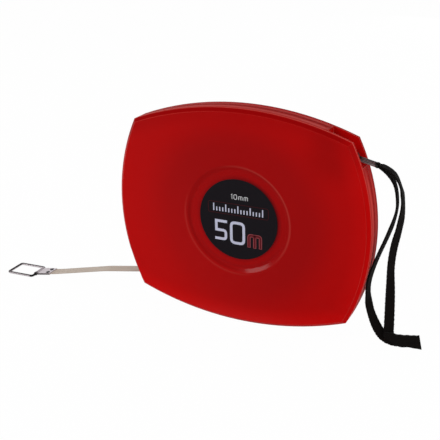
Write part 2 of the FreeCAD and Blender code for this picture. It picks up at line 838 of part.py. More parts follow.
def crank_plate():
    """Cup that closes the hub: hinge lugs, the knob's slot and an eye over the axle's screw."""
    rim_top = "case_depth - crank_rim_drop"
    body = turned("crank_plate", [
        ("plate_eye_radius", PLATE_FRONT), ("crank_plate_radius", PLATE_FRONT),
        ("crank_plate_radius", rim_top), ("crank_plate_radius - crank_rim_width", rim_top),
        ("crank_plate_radius - crank_rim_width", PLATE_REAR), ("plate_eye_radius", PLATE_REAR),
    ])
    for side in ("-(%s + lug_thickness)" % LUG_INNER, LUG_INNER):
        lug = sketch_on(body, "XY_Plane", side)
        draw_tongue(lug, "hinge_offset", HINGE_Y, "hinge_radius", "%s - hinge_radius" % PLATE_REAR)
        add_pad(body, lug, "lug_thickness")
    bore = sketch_on(body, "XY_Plane")
    draw_circle(bore, "hinge_offset", HINGE_Y, "hinge_pin_radius")
    add_through(body, bore)
    slot = sketch_on(body, "XZ_Plane", PLATE_FRONT)
    half = "(knob_radius + knob_slot_play)"
    near = "%s + %s" % (KNOB_X, half)
    far = "hinge_offset - %s - knob_slot_play / 2" % KNOB_SWEEP
    draw_polygon(slot, [(far, "-" + half), (near, "-" + half), (near, half), (far, half)])
    add_pocket(body, slot, "crank_plate_thickness", back=True)
    holes = sketch_on(body, "XZ_Plane", PLATE_FRONT)
    seats = sketch_on(body, "XZ_Plane", PLATE_SEAT)
    for angle in HUB_POST_ANGLES:
        x, z = around(angle, "hub_post_circle")
        draw_circle(holes, x, z, "plate_screw_radius")
        draw_circle(seats, x, z, "plate_screw_head")
    add_pocket(body, holes, "crank_plate_thickness", back=True)
    add_pocket(body, seats, "plate_screw_head_height", back=True)
    keep(body)


def plate_screws():
    profile = stepped_profile("plate_screw_radius", "%s - plate_screw_length" % PLATE_SEAT,
                              PLATE_SEAT, "plate_screw_head", PLATE_REAR)
    members = []
    for i, angle in enumerate(HUB_POST_ANGLES):
        x, z = around(angle, "hub_post_circle")
        members.append(turned("plate_screw_%d" % (i + 1), profile, x, "0", z))
    group("plate_screws", members)


def crank_arm():
    """Steel strip with a rolled eye at the hinge and a round tip round the knob's rivet."""
    body = new_body("crank_arm")
    strip = sketch_on(body, "XY_Plane")
    tip = "%s - arm_tip" % KNOB_X
    top = "%s + arm_thickness" % ARM_INNER
    draw_polygon(strip, [(tip, ARM_INNER), ("hinge_offset", ARM_INNER), ("hinge_offset", top),
                         (tip, top)])
    add_centred_pad(body, strip, "arm_width")
    eye = sketch_on(body, "XY_Plane")
    draw_circle(eye, "hinge_offset", HINGE_Y, "hinge_radius")
    add_centred_pad(body, eye, "arm_width")
    bore = sketch_on(body, "XY_Plane")
    draw_circle(bore, "hinge_offset", HINGE_Y, "hinge_pin_radius + hinge_clearance")
    add_through(body, bore)
    hole = sketch_on(body, "XZ_Plane", ARM_INNER)
    draw_circle(hole, KNOB_X, "0", "knob_rivet_radius")
    add_pocket(body, hole, "arm_thickness", back=True)
    end = value(tip)
    corners = edges_where(body.Shape, lambda e: abs(e.BoundBox.XMin - end) < 1e-4
                          and e.BoundBox.XLength < 1e-4 and e.BoundBox.ZLength < 1e-4)
    add_fillet(body, corners, "arm_width / 2 - 0.1 * arm_thickness")
    keep(body)


def crank_hinge_pin():
    body = new_body("crank_hinge_pin")
    section = sketch_on(body, "XY_Plane")
    draw_circle(section, "hinge_offset", HINGE_Y, "hinge_pin_radius")
    add_centred_pad(body, section, "2 * (%s + lug_thickness)" % LUG_INNER)
    keep(body)


def crank_knob():
    """Waisted grip that turns on its rivet; folded, it hangs into the hub's hollow."""
    near = "%s - knob_clearance" % ARM_INNER
    far = "%s - knob_length" % near
    floor = "%s + knob_rivet_head_height + knob_clearance" % far
    bore = "knob_rivet_radius + axle_clearance"
    well = "knob_rivet_head + knob_clearance"
    keep(turned("crank_knob", [
        (bore, near), ("knob_radius - 0.1 * knob_length", near),
        ("knob_radius", "%s - 0.1 * knob_length" % near),
        ("knob_radius", "%s - 0.25 * knob_length" % near),
        ("knob_waist", "%s - 0.45 * knob_length" % near),
        ("knob_waist", "%s - 0.6 * knob_length" % near),
        ("knob_radius", "%s - 0.8 * knob_length" % near),
        ("knob_radius", "%s - 0.92 * knob_length" % near),
        ("knob_radius - 0.08 * knob_length", far),
        (well, far), (well, floor), (bore, floor),
    ], KNOB_X))


def knob_rivet():
    head = "%s - knob_clearance - knob_length" % ARM_INNER
    keep(turned("knob_rivet", [
        ("0", head), ("knob_rivet_head", head),
        ("knob_rivet_head", "%s + knob_rivet_head_height" % head),
        ("knob_rivet_radius", "%s + knob_rivet_head_height" % head),
        ("knob_rivet_radius", "%s + arm_thickness" % ARM_INNER),
        ("0", "%s + arm_thickness" % ARM_INNER),
    ], KNOB_X))


# ---------------------------------------------------------------- tape

def solid_feature(label, shape):
    """A node whose form no sketch feature fits, made with Part's own functions."""
    feature = doc.addObject("Part::Feature", label)
    feature.Label = label
    feature.Shape = shape
    return keep(feature)


def rounded_path(points, radii):
    """Straight runs through points (x, z), joined by tangent arcs of the given radii."""
    vectors = [FreeCAD.Vector(x, 0, z) for x, z in points]
    edges = []
    start = vectors[0]
    for here, after, radius in zip(vectors[1:-1], vectors[2:], radii):
        to_start = (start - here).normalize()
        to_after = (after - here).normalize()
        half_turn = (math.pi - to_start.getAngle(to_after)) / 2
        setback = radius * math.tan(half_turn)
        enter = here + to_start * setback
        leave = here + to_after * setback
        bisector = (to_start + to_after).normalize()
        middle = here + bisector * (radius / math.cos(half_turn) - radius)
        edges.append(Part.LineSegment(start, enter).toShape())
        edges.append(Part.Arc(enter, middle, leave).toShape())
        start = leave
    edges.append(Part.LineSegment(start, vectors[-1]).toShape())
    return Part.Wire(edges)


def strip_along(path, width, thickness):
    """A flat strip of that width and thickness along a path in the seam plane."""
    first = path.Edges[0]
    origin = first.valueAt(first.FirstParameter)
    along = first.tangentAt(first.FirstParameter)
    across = along.cross(FreeCAD.Vector(0, 1, 0)).normalize() * (thickness / 2)
    side = FreeCAD.Vector(0, width / 2, 0)
    corners = [origin - side - across, origin + side - across, origin + side + across,
               origin - side + across]
    section = Part.Wire(Part.makePolygon(corners + corners[:1]).Edges)
    strip = path.makePipeShell([section], True, False, 2)
    strip.translate(FreeCAD.Vector(0, value(SEAM), 0))
    return strip


def checked_strip(path, width, thickness, label):
    """A strip along the path, with its volume held against section times length."""
    strip = strip_along(path, width, thickness)
    expected = width * thickness * path.Length
    print("%s: length %.1f mm, volume %.4f of section times length"
          % (label, path.Length, strip.Volume / expected))
    return strip


def tape_points():
    """The tape's route from the mouth to the bar of its end ring, which stands on the floor."""
    mouth = (value(MOUTH_X), value(MOUTH_Z))
    exit_slope, drop_slope, landing_slope = (
        math.radians(value(name)) for name in ("exit_slope", "drop_slope", "landing_slope"))
    exit_run, landing_run = value("exit_run"), value("landing_run")
    bar_z = value(FLOOR) + value(EYE_OUTER)
    fall = mouth[1] - bar_z - exit_run * math.sin(exit_slope)
    drop_run = (fall - landing_run * math.sin(landing_slope)) / math.sin(drop_slope)
    points = [mouth]
    for run, slope in ((exit_run, exit_slope), (drop_run, drop_slope),
                       (landing_run, landing_slope)):
        x, z = points[-1]
        points.append((x - run * math.cos(slope), z - run * math.sin(slope)))
    return points


EYE_INNER = "(ring_wire_radius + ring_clearance)"
EYE_OUTER = "(ring_wire_radius + ring_clearance + clamp_sheet)"


def toward(start, end, distance):
    """The point at that distance from start on the way to end."""
    length = math.hypot(end[0] - start[0], end[1] - start[1])
    share = distance / length
    return (start[0] + (end[0] - start[0]) * share, start[1] + (end[1] - start[1]) * share)


def tape_blade():
    """The drawn-out tape, from just inside the mouth to the fold of its clamp."""
    mouth, first, second, bar = tape_points()
    inner_end = toward(mouth, first, -value("blade_reach"))
    outer_end = toward(bar, second, value(EYE_OUTER) + value("clamp_sheet"))
    bend = value("tape_bend_radius")
    path = rounded_path([inner_end, first, second, outer_end], [bend, bend])
    blade = checked_strip(path, value("tape_width"), value("tape_thickness"), "tape_blade")
    radius, length = value("clamp_rivet_radius"), 4 * value("clamp_rivet_radius")
    for seat in rivet_seats():
        hole = Part.makeCylinder(radius, length, FreeCAD.Vector(0, -length / 2, 0),
                                 FreeCAD.Vector(0, 1, 0))
        hole.Placement = seat.multiply(hole.Placement)
        blade = blade.cut(hole)
    solid_feature("tape_blade", blade)


def tape_lead():
    """The stretch between the coil and the mouth, which bends over the lower guide pin."""
    mouth, first, _, _ = tape_points()
    outer_end = toward(mouth, first, -value("blade_reach"))
    corner = toward(mouth, first, -value("guide_setback"))
    radius = value("coil_radius") + value("tape_thickness")
    distance = math.hypot(*corner)
    lift = math.atan2(-corner[1], -corner[0]) - math.asin(radius / distance)
    run = math.sqrt(distance ** 2 - radius ** 2) - value("tape_thickness")
    inner_end = (corner[0] + run * math.cos(lift), corner[1] + run * math.sin(lift))
    turn = math.radians(value("exit_slope")) - lift
    reach = value("guide_setback") - value("blade_reach")
    bend = min(value("guide_bend_radius"), 0.8 * reach / math.tan(turn / 2))
    path = rounded_path([inner_end, corner, outer_end], [bend])
    lead = checked_strip(path, value("tape_width"), value("tape_thickness"), "tape_lead")
    solid_feature("tape_lead", lead)


def clamp_frame():
    """Placement whose x axis runs from the ring's bar back up the tape, y towards the rear."""
    _, _, second, bar = tape_points()
    slope = math.atan2(second[1] - bar[1], second[0] - bar[0])
    turn = FreeCAD.Rotation(FreeCAD.Vector(0, 1, 0), -math.degrees(slope))
    return FreeCAD.Placement(FreeCAD.Vector(bar[0], value(SEAM), bar[1]), turn)


def rivet_seats():
    """Placements of the two clamp rivets, their own Y axis square to the leaves."""
    along = value("clamp_length - clamp_rivet_setback")
    upright = FreeCAD.Rotation(FreeCAD.Vector(1, 0, 0), 90)
    seats = []
    for side in (-1, 1):
        spot = FreeCAD.Vector(along, side * value("clamp_rivet_pitch") / 2, 0)
        seats.append(clamp_frame().multiply(FreeCAD.Placement(spot, upright)))
    return seats


def tape_end_clamp():
    """Folded sheet: an eye round the ring's bar and two leaves that grip the tape."""
    body = new_body("tape_end_clamp")
    half_gap = "tape_thickness / 2"
    half_all = "(tape_thickness / 2 + clamp_sheet)"
    leaves = sketch_on(body, "XZ_Plane")
    draw_polygon(leaves, [
        ("0", "-" + half_all), ("clamp_length", "-" + half_all), ("clamp_length", half_all),
        ("0", half_all),
    ])
    add_centred_pad(body, leaves, "clamp_width")
    eye = sketch_on(body, "XZ_Plane")
    draw_circle(eye, "0", "0", EYE_OUTER)
    add_centred_pad(body, eye, "clamp_width")
    bore = sketch_on(body, "XZ_Plane")
    draw_circle(bore, "0", "0", EYE_INNER)
    add_through(body, bore)
    slit = sketch_on(body, "XZ_Plane")
    start = "(%s + clamp_sheet)" % EYE_OUTER
    draw_polygon(slit, [(start, "-" + half_gap), ("2 * clamp_length", "-" + half_gap),
                        ("2 * clamp_length", half_gap), (start, half_gap)])
    add_through(body, slit)
    tapers = sketch_on(body, "XY_Plane")
    for side in ("", "-"):
        draw_polygon(tapers, [
            ("clamp_length / 3", side + "clamp_width / 2"),
            ("clamp_length + clamp_sheet", side + "clamp_tail_width / 2"),
            ("clamp_length + clamp_sheet", side + "clamp_width"),
            ("clamp_length / 3", side + "clamp_width"),
        ])
    add_through(body, tapers)
    holes = sketch_on(body, "XY_Plane")
    for side in ("", "-"):
        draw_circle(holes, "clamp_length - clamp_rivet_setback", side + "clamp_rivet_pitch / 2",
                    "clamp_rivet_radius")
    add_through(body, holes)
    body.Placement = clamp_frame()
    keep(body)


def end_ring():
    """Rounded loop of polished wire in the clamp's eye, slid forward, its far bar on the floor."""
    body = new_body("end_ring")
    path = sketch_on(body, "XY_Plane")
    reach = "(ring_length - 2 * ring_wire_radius)"
    draw_rounded_loop(path, reach, "(ring_width / 2 - ring_wire_radius)", "ring_bend_radius")
    section = sketch_on(body, "XZ_Plane")
    draw_circle(section, "0", "0", "ring_wire_radius")
    add_pipe(body, section, path)
    _, _, _, bar = tape_points()
    tilt = math.asin((value(EYE_OUTER) - value("ring_wire_radius")) / value(reach))
    turn = FreeCAD.Rotation(FreeCAD.Vector(0, 1, 0), 180 - math.degrees(tilt))
    middle = value(SEAM) - value("ring_set_forward")
    body.Placement = FreeCAD.Placement(FreeCAD.Vector(bar[0], middle, bar[1]), turn)
    keep(body)


def draw_rounded_loop(sketch, reach, half, bend):
    """A loop from the origin up, round to x = reach and back, with four equal corners."""
    far, side, r = value(reach), value(half), value(bend)
    corners = [(0, side), (far, side), (far, -side), (0, -side)]
    starts = [(0, 0), (r, side), (far, side - r), (far - r, -side), (0, r - side)]
    ends = [(0, side - r), (far - r, side), (far, r - side), (r, -side), (0, 0)]
    centres = [(r, side - r), (far - r, side - r), (far - r, r - side), (r, r - side)]
    for index in range(5):
        line = Part.LineSegment(FreeCAD.Vector(*starts[index], 0), FreeCAD.Vector(*ends[index], 0))
        sketch.addGeometry(line)
        if index == 4:
            break
        (cx, cy), (kx, ky) = centres[index], corners[index]
        toward_corner = math.atan2(ky - cy, kx - cx)
        middle = FreeCAD.Vector(cx + r * math.cos(toward_corner), cy + r * math.sin(toward_corner), 0)
        begin = FreeCAD.Vector(*ends[index], 0)
        finish = FreeCAD.Vector(*starts[index + 1], 0)
        sketch.addGeometry(Part.Arc(begin, middle, finish))
    for index in range(4):
        line, arc, after = 2 * index, 2 * index + 1, 2 * index + 2
        sketch.addConstraint(Sketcher.Constraint("Tangent", line, 2, arc, 2))
        sketch.addConstraint(Sketcher.Constraint("Tangent", arc, 1, after, 1))
        rule(sketch, "Radius", (arc,), bend)
    sketch.addConstraint(Sketcher.Constraint("Coincident", 8, 2, 0, 1))
    sketch.addConstraint(Sketcher.Constraint("Coincident", 0, 1, -1, 1))
    for line in (0, 4, 8):
        sketch.addConstraint(Sketcher.Constraint("Vertical", line))
    for line in (2, 6):
        sketch.addConstraint(Sketcher.Constraint("Horizontal", line))
    pin(sketch, 4, 1, reach, None)
    pin(sketch, 2, 1, None, half)
    pin(sketch, 6, 1, None, "-" + half)


def add_pipe(body, section, path):
    pipe = body.newObject("PartDesign::AdditivePipe", body.Label + "_pipe")
    pipe.Profile = section
    pipe.Spine = (path, ["Edge%d" % (i + 1) for i in range(path.GeometryCount)])
    doc.recompute()
    return pipe


def clamp_rivets():
    inner = "(tape_thickness / 2 + clamp_sheet)"
    outer = "(%s + clamp_rivet_head_height)" % inner
    members = []
    for index, seat in enumerate(rivet_seats()):
        rivet = turned("clamp_rivet_%d" % (index + 1), [
            ("0", "-" + outer), ("clamp_rivet_head", "-" + outer), ("clamp_rivet_head", "-" + inner),
            ("clamp_rivet_radius", "-" + inner), ("clamp_rivet_radius", inner),
            ("clamp_rivet_head", inner), ("clamp_rivet_head", outer), ("0", outer),
        ])
        rivet.Placement = seat
        members.append(rivet)
    group("clamp_rivets", members)


# ---------------------------------------------------------------- wrist strap

def strap_pin():
    reach = "(%s - crown_depth - pocket_rim + strap_pin_seat)" % SEAM
    front, rear = "%s - %s" % (SEAM, reach), "%s + %s" % (SEAM, reach)
    profile = [("0", front), ("strap_pin_radius", front), ("strap_pin_radius", rear), ("0", rear)]
    keep(turned("strap_pin", profile, STRAP_PIN_X, "0", STRAP_PIN_Z))


def bail_frame():
    """Placement whose x axis runs out along the bail from its pin."""
    turn = FreeCAD.Rotation(FreeCAD.Vector(0, 1, 0), value("bail_droop"))
    return FreeCAD.Placement(
        FreeCAD.Vector(value(STRAP_PIN_X), value(SEAM), value(STRAP_PIN_Z)), turn)


def strap_bail():
    """U of wire whose legs end in eyes round the strap's pin."""
    body = new_body("strap_bail")
    centre = "(strap_pin_radius + bail_clearance + bail_wire_radius)"
    half = "bail_width / 2"
    path = sketch_on(body, "XY_Plane")
    draw_u_path(path, centre, "bail_reach", half, "bail_bend_radius")
    section = sketch_on(body, "YZ_Plane", centre)
    draw_circle(section, "-" + half, "0", "bail_wire_radius")
    add_pipe(body, section, path)
    for side in ("-", ""):
        eye = sketch_on(body, "XY_Plane")
        draw_circle(eye, centre, side + half, "bail_wire_radius")
        turn = body.newObject("PartDesign::Revolution", "bail_eye")
        turn.Profile = eye
        turn.ReferenceAxis = (eye, ["V_Axis"])
        turn.Angle = 360
        doc.recompute()
    body.Placement = bail_frame()
    keep(body)


def draw_u_path(sketch, root, reach, half, bend):
    """Out along y = -half, round two equal corners and back along y = half."""
    x0, x1, side, r = value(root), value(reach), value(half), value(bend)
    lean = r * math.sqrt(0.5)
    lines = [((x0, -side), (x1 - r, -side)), ((x1, r - side), (x1, side - r)),
             ((x1 - r, side), (x0, side))]
    middles = [(x1 - r + lean, -side + r - lean), (x1 - r + lean, side - r + lean)]
    for index, (start, end) in enumerate(lines):
        sketch.addGeometry(Part.LineSegment(FreeCAD.Vector(*start, 0), FreeCAD.Vector(*end, 0)))
        if index < 2:
            finish = FreeCAD.Vector(*lines[index + 1][0], 0)
            sketch.addGeometry(Part.Arc(FreeCAD.Vector(*end, 0),
                                        FreeCAD.Vector(*middles[index], 0), finish))
    for line, arc, after in ((0, 1, 2), (2, 3, 4)):
        sketch.addConstraint(Sketcher.Constraint("Tangent", line, 2, arc, 1))
        sketch.addConstraint(Sketcher.Constraint("Tangent", arc, 2, after, 1))
        rule(sketch, "Radius", (arc,), bend)
    sketch.addConstraint(Sketcher.Constraint("Horizontal", 0))
    sketch.addConstraint(Sketcher.Constraint("Vertical", 2))
    sketch.addConstraint(Sketcher.Constraint("Horizontal", 4))
    pin(sketch, 0, 1, root, "-" + half)
    pin(sketch, 4, 2, root, half)
    pin(sketch, 2, 1, reach, None)


def strap_fold():
    """Webbing folded round the bail's crossbar, its two layers sewn flat just below."""
    body = new_body("strap_fold")
    inner = "(bail_wire_radius + strap_eye_clearance)"
    outer = "(%s + strap_thickness)" % inner
    eye = sketch_on(body, "XZ_Plane")
    draw_circle(eye, "0", "0", outer)
    add_centred_pad(body, eye, "strap_neck_width")
    layers = sketch_on(body, "XZ_Plane")
    draw_polygon(layers, [("0", "-strap_thickness"), ("2 * strap_width / 3", "-strap_thickness"),
                          ("2 * strap_width / 3", "strap_thickness"), ("0", "strap_thickness")])
    add_centred_pad(body, layers, "strap_neck_width")
    bore = sketch_on(body, "XZ_Plane")
    draw_circle(bore, "0", "0", inner)
    add_through(body, bore)
    frame = bail_frame()
    crossbar = FreeCAD.Placement(FreeCAD.Vector(value("bail_reach"), 0, 0), FreeCAD.Rotation())
    body.Placement = frame.multiply(crossbar)
    keep(body)


# centre lines of the strap's two runs, from the fold down to the sewn ends: (X, Z)
OUTER_RUN = [(96.7, 48.5), (104.7, 46.3), (111.4, 33.4), (112.0, 13.5), (105.9, -16.0),
             (105.9, -45.0), (107.4, -71.0)]
INNER_RUN = [(96.4, 47.2), (103.6, 45.2), (107.9, 33.0), (107.9, 12.5), (91.2, -28.5),
             (91.3, -48.5), (97.8, -65.5), (105.3, -74.2), (113.0, -73.8)]


def cord_radii(label, points):
    """Arc radii from the shorter of the two runs at each corner and the turn between them."""
    radii = []
    for before, here, after in zip(points, points[1:], points[2:]):
        first = math.atan2(here[1] - before[1], here[0] - before[0])
        second = math.atan2(after[1] - here[1], after[0] - here[0])
        turn = abs((second - first + math.pi) % (2 * math.pi) - math.pi)
        shorter = min(math.dist(before, here), math.dist(here, after))
        radii.append(0.45 * shorter / math.tan(turn / 2))
    print("%s: radii %s mm" % (label, ", ".join("%.1f" % radius for radius in radii)))
    return radii


def strap_runs():
    for label, points in (("strap_outer_run", OUTER_RUN), ("strap_inner_run", INNER_RUN)):
        path = rounded_path(points, cord_radii(label, points))
        run = checked_strip(path, value("strap_width"), value("strap_thickness"), label)
        solid_feature(label, run)


def strap_stub():
    """Sewn and sealed ends of the strap, standing on edge on the floor."""
    body = new_body("strap_stub")
    plan = sketch_on(body, "XY_Plane")
    thickness = "1.1 * strap_thickness"
    draw_polygon(plan, [("0", "-" + thickness), ("stub_length", "-" + thickness),
                        ("stub_length", thickness), ("0", thickness)])
    add_pad(body, plan, "stub_height")
    length = value("stub_length")
    ends = edges_where(body.Shape, lambda e: e.BoundBox.XMin > length - 1e-3
                       and e.BoundBox.YLength > 1e-3)
    add_fillet(body, ends, "strap_thickness / 2")
    turn = FreeCAD.Rotation(FreeCAD.Vector(0, 0, 1), value("stub_turn"))
    start = FreeCAD.Vector(value("stub_start_x"), value(SEAM) - value("stub_set_forward"),
                           value(FLOOR))
    body.Placement = FreeCAD.Placement(start, turn)
    keep(body)


# ---------------------------------------------------------------- build and write

front_cover()
rear_cover()
label_disc()
case_screws()
guide_pins()
axle()
drum_hub()
flanges()
flange_rivets()
tape_coil()
crank_plate()
plate_screws()
crank_arm()
crank_hinge_pin()
crank_knob()
knob_rivet()
tape_lead()
tape_blade()
tape_end_clamp()
clamp_rivets()
end_ring()
strap_pin()
strap_bail()
strap_fold()
strap_runs()
strap_stub()
doc.recompute()

os.makedirs("parts", exist_ok=True)
for item in doc.Objects:
    if "Invalid" in item.State or "Error" in item.State:
        raise RuntimeError("%s did not build: %s" % (item.Label, item.State))
for part in parts:
    if part.Shape.isNull() or not part.Shape.isValid():
        raise RuntimeError("%s has no valid shape" % part.Label)
    part.Shape.exportStep("parts/%s.step" % part.Label)
print("%d nodes written" % len(parts))
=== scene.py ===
import json
import math

import bmesh
import bpy
from mathutils import Matrix, Vector

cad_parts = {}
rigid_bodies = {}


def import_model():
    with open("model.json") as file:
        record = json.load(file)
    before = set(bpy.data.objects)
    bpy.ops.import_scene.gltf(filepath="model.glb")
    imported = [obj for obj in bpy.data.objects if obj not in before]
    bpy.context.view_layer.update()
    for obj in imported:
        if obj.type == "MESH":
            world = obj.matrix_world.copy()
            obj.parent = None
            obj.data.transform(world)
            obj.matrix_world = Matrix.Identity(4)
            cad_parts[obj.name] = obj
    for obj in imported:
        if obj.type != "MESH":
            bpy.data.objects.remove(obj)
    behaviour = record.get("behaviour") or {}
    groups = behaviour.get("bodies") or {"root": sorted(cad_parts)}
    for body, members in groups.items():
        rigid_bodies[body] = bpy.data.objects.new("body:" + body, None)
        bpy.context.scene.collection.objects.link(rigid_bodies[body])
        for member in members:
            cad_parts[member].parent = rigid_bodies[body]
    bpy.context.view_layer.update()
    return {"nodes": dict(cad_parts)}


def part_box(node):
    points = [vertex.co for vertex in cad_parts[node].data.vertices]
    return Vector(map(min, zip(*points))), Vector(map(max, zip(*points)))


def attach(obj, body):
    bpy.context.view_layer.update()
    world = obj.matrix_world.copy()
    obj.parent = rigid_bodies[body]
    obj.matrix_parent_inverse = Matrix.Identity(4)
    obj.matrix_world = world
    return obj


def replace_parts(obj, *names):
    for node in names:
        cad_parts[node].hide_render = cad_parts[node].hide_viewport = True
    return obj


for left_over in list(bpy.data.objects):
    bpy.data.objects.remove(left_over)
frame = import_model()
NODES = frame["nodes"]
SCENE = bpy.context.scene

# Lengths are in millimetres in the reel's own axes, and MM makes them metres.
MM = 0.001
SEAM_Y = 10.3
FLOOR_Z = -78.2
LABEL_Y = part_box("label_disc")[0][1] / MM

# The case's outline: arcs along its top and bottom, and arcs at its two sides. Each is
# struck from a point on the far side of the middle.
TOP_ARC_MIDDLE, TOP_ARC_RADIUS = 141.4, 219.2
SIDE_ARC_MIDDLE, SIDE_ARC_RADIUS = 48.9, 142.4

# The strap: the corners of its two runs as (x, z), the bar that it hangs on, and its band.
OUTER_RUN = [(96.7, 48.5), (104.2, 46.3), (110.9, 33.8), (111.6, 15.8), (105.3, -13.0),
             (106.7, -42.0), (106.9, -71.0)]
INNER_RUN = [(96.4, 47.2), (102.8, 43.2), (107.3, 33.4), (108.2, 16.2), (91.2, -28.5),
             (91.3, -48.5), (97.8, -65.5), (105.3, -74.2), (113.0, -73.8)]
BAIL_BAR = (93.59, 48.60)
BAND_WIDTH, BAND_THICK = 6.5, 1.2
WIDTH_AT_FOLD = 5.6


def mix(a, b, share):
    return a + (b - a) * share


def ease(x):
    """0 below 0, 1 above 1, and a smooth step between them."""
    x = min(max(x, 0.0), 1.0)
    return x * x * (3 - 2 * x)


def around(count):
    """The angles of count points that go once round."""
    return [2 * math.pi * k / count for k in range(count)]


# ---------------------------------------------------------------- finishes

def tone(red, green, blue):
    """A colour as the eye names it, 0 to 255, made linear for the shader."""
    def linear(part):
        part /= 255
        return part / 12.92 if part <= 0.04045 else ((part + 0.055) / 1.055) ** 2.4
    return (linear(red), linear(green), linear(blue), 1.0)


def dimmed(colour, share):
    return [part * share for part in colour[:3]] + [1.0]


class Sum:
    """A number that varies over a surface; sums on it add the nodes that work it out."""

    def __init__(self, tree, socket):
        self.tree, self.socket = tree, socket

    def does(self, operation, *others):
        ends = {i + 1: other for i, other in enumerate(others)}
        return self.tree.node("ShaderNodeMath", {"operation": operation}, {0: self, **ends})

    def __add__(self, other):
        return self.does("ADD", other)

    def __sub__(self, other):
        return self.does("SUBTRACT", other)

    def __mul__(self, other):
        return self.does("MULTIPLY", other)

    def __pow__(self, other):
        return self.does("POWER", other)

    def __rsub__(self, other):
        return self.tree.node("ShaderNodeMath", {"operation": "SUBTRACT"}, {0: other, 1: self})

    __radd__ = __add__
    __rmul__ = __mul__

    def magnitude(self):
        return self.does("ABSOLUTE")

    def at_most(self, other):
        return self.does("MINIMUM", other)

    def or_more(self, other):
        return self.does("MAXIMUM", other)

    def ramp(self, low, high):
        """0 below low, 1 above high, eased between them."""
        return self.tree.node("ShaderNodeMapRange", {"interpolation_type": "SMOOTHSTEP"},
                              {0: self, 1: low, 2: high})

    def past(self, low, high):
        """A ramp over a length, from low to high in millimetres."""
        return self.ramp(low * MM, high * MM)

    def stripe(self, middle, half):
        """1 at middle, eased down to 0 at half to either side, in millimetres."""
        return 1 - (self - middle * MM).magnitude().past(0.0, half)


class Tree:
    """The nodes of one material or of the room."""

    def __init__(self, tree):
        self.tree = tree

    def node(self, kind, settings=None, inputs=None, output=0):
        made = self.tree.nodes.new(kind)
        for setting, chosen in (settings or {}).items():
            setattr(made, setting, chosen)
        for socket, given in (inputs or {}).items():
            self.feed(made.inputs[socket], given)
        return Sum(self, made.outputs[output])

    def feed(self, socket, given):
        if isinstance(given, Sum):
            self.tree.links.new(given.socket, socket)
        else:
            socket.default_value = given

    def parts(self, vector):
        split = self.node("ShaderNodeSeparateXYZ", {}, {0: vector})
        return [Sum(self, split.socket.node.outputs[i]) for i in range(3)]

    def light_path(self, *kinds):
        """1 for rays of any of these kinds."""
        rays = self.node("ShaderNodeLightPath").socket.node.outputs
        total = Sum(self, rays[kinds[0]])
        for kind in kinds[1:]:
            total = total.or_more(Sum(self, rays[kind]))
        return total

    def between(self, share, first, second):
        return self.node("ShaderNodeMix", {}, {0: share, 2: first, 3: second})


class Finish(Tree):
    """A material: one shader, and what varies over it."""

    def __init__(self, name, **constants):
        self.material = bpy.data.materials.new(name)
        self.material.use_nodes = True
        super().__init__(self.material.node_tree)
        self.shader = self.tree.nodes["Principled BSDF"]
        for socket, number in constants.items():
            self.shader.inputs[socket.replace("_", " ")].default_value = number

    def set(self, socket, given):
        self.feed(self.shader.inputs[socket], given)
        return self

    def place(self):
        return self.node("ShaderNodeTexCoord", output=3)

    def axes(self):
        """x, y and z in the reel's own axes, in metres."""
        return self.parts(self.place())

    def facing(self):
        """The way the surface faces, in the reel's own axes."""
        return self.parts(self.node("ShaderNodeTexCoord", output=1))

    def along(self, name):
        return self.node("ShaderNodeAttribute", {"attribute_name": name}, output=2)

    def noise(self, scale, detail=3.0, roughness=0.55, stretch=None):
        """Clouds, scale of them to the metre; stretch slows them along an axis."""
        where = self.place()
        if stretch:
            where = self.node("ShaderNodeVectorMath", {"operation": "MULTIPLY"},
                              {0: where, 1: stretch})
        return self.node("ShaderNodeTexNoise", {},
                         {"Vector": where, "Scale": scale, "Detail": detail,
                          "Roughness": roughness})

    def blend(self, share, first, second):
        return self.node("ShaderNodeMix", {"data_type": "RGBA"},
                         {0: share, 6: first, 7: second}, 2)

    def bump(self, height, distance, strength=1.0, under=None):
        """Relief that stands distance millimetres high."""
        inputs = {"Height": height, "Distance": distance * MM, "Strength": strength}
        if under is not None:
            inputs["Normal"] = under
        return self.node("ShaderNodeBump", {}, inputs)

    def rounded(self, radius):
        """Sharp edges shaded as if they were rounded off."""
        return self.node("ShaderNodeBevel", {"samples": 6}, {"Radius": radius * MM})

    def edges(self, radius):
        """How near a sharp edge is: 0 on a flat, more where the surface turns."""
        hard = self.node("ShaderNodeNewGeometry", output=1)
        dot = self.node("ShaderNodeVectorMath", {"operation": "DOT_PRODUCT"},
                        {0: self.rounded(radius), 1: hard}, output=1)
        return 1 - dot


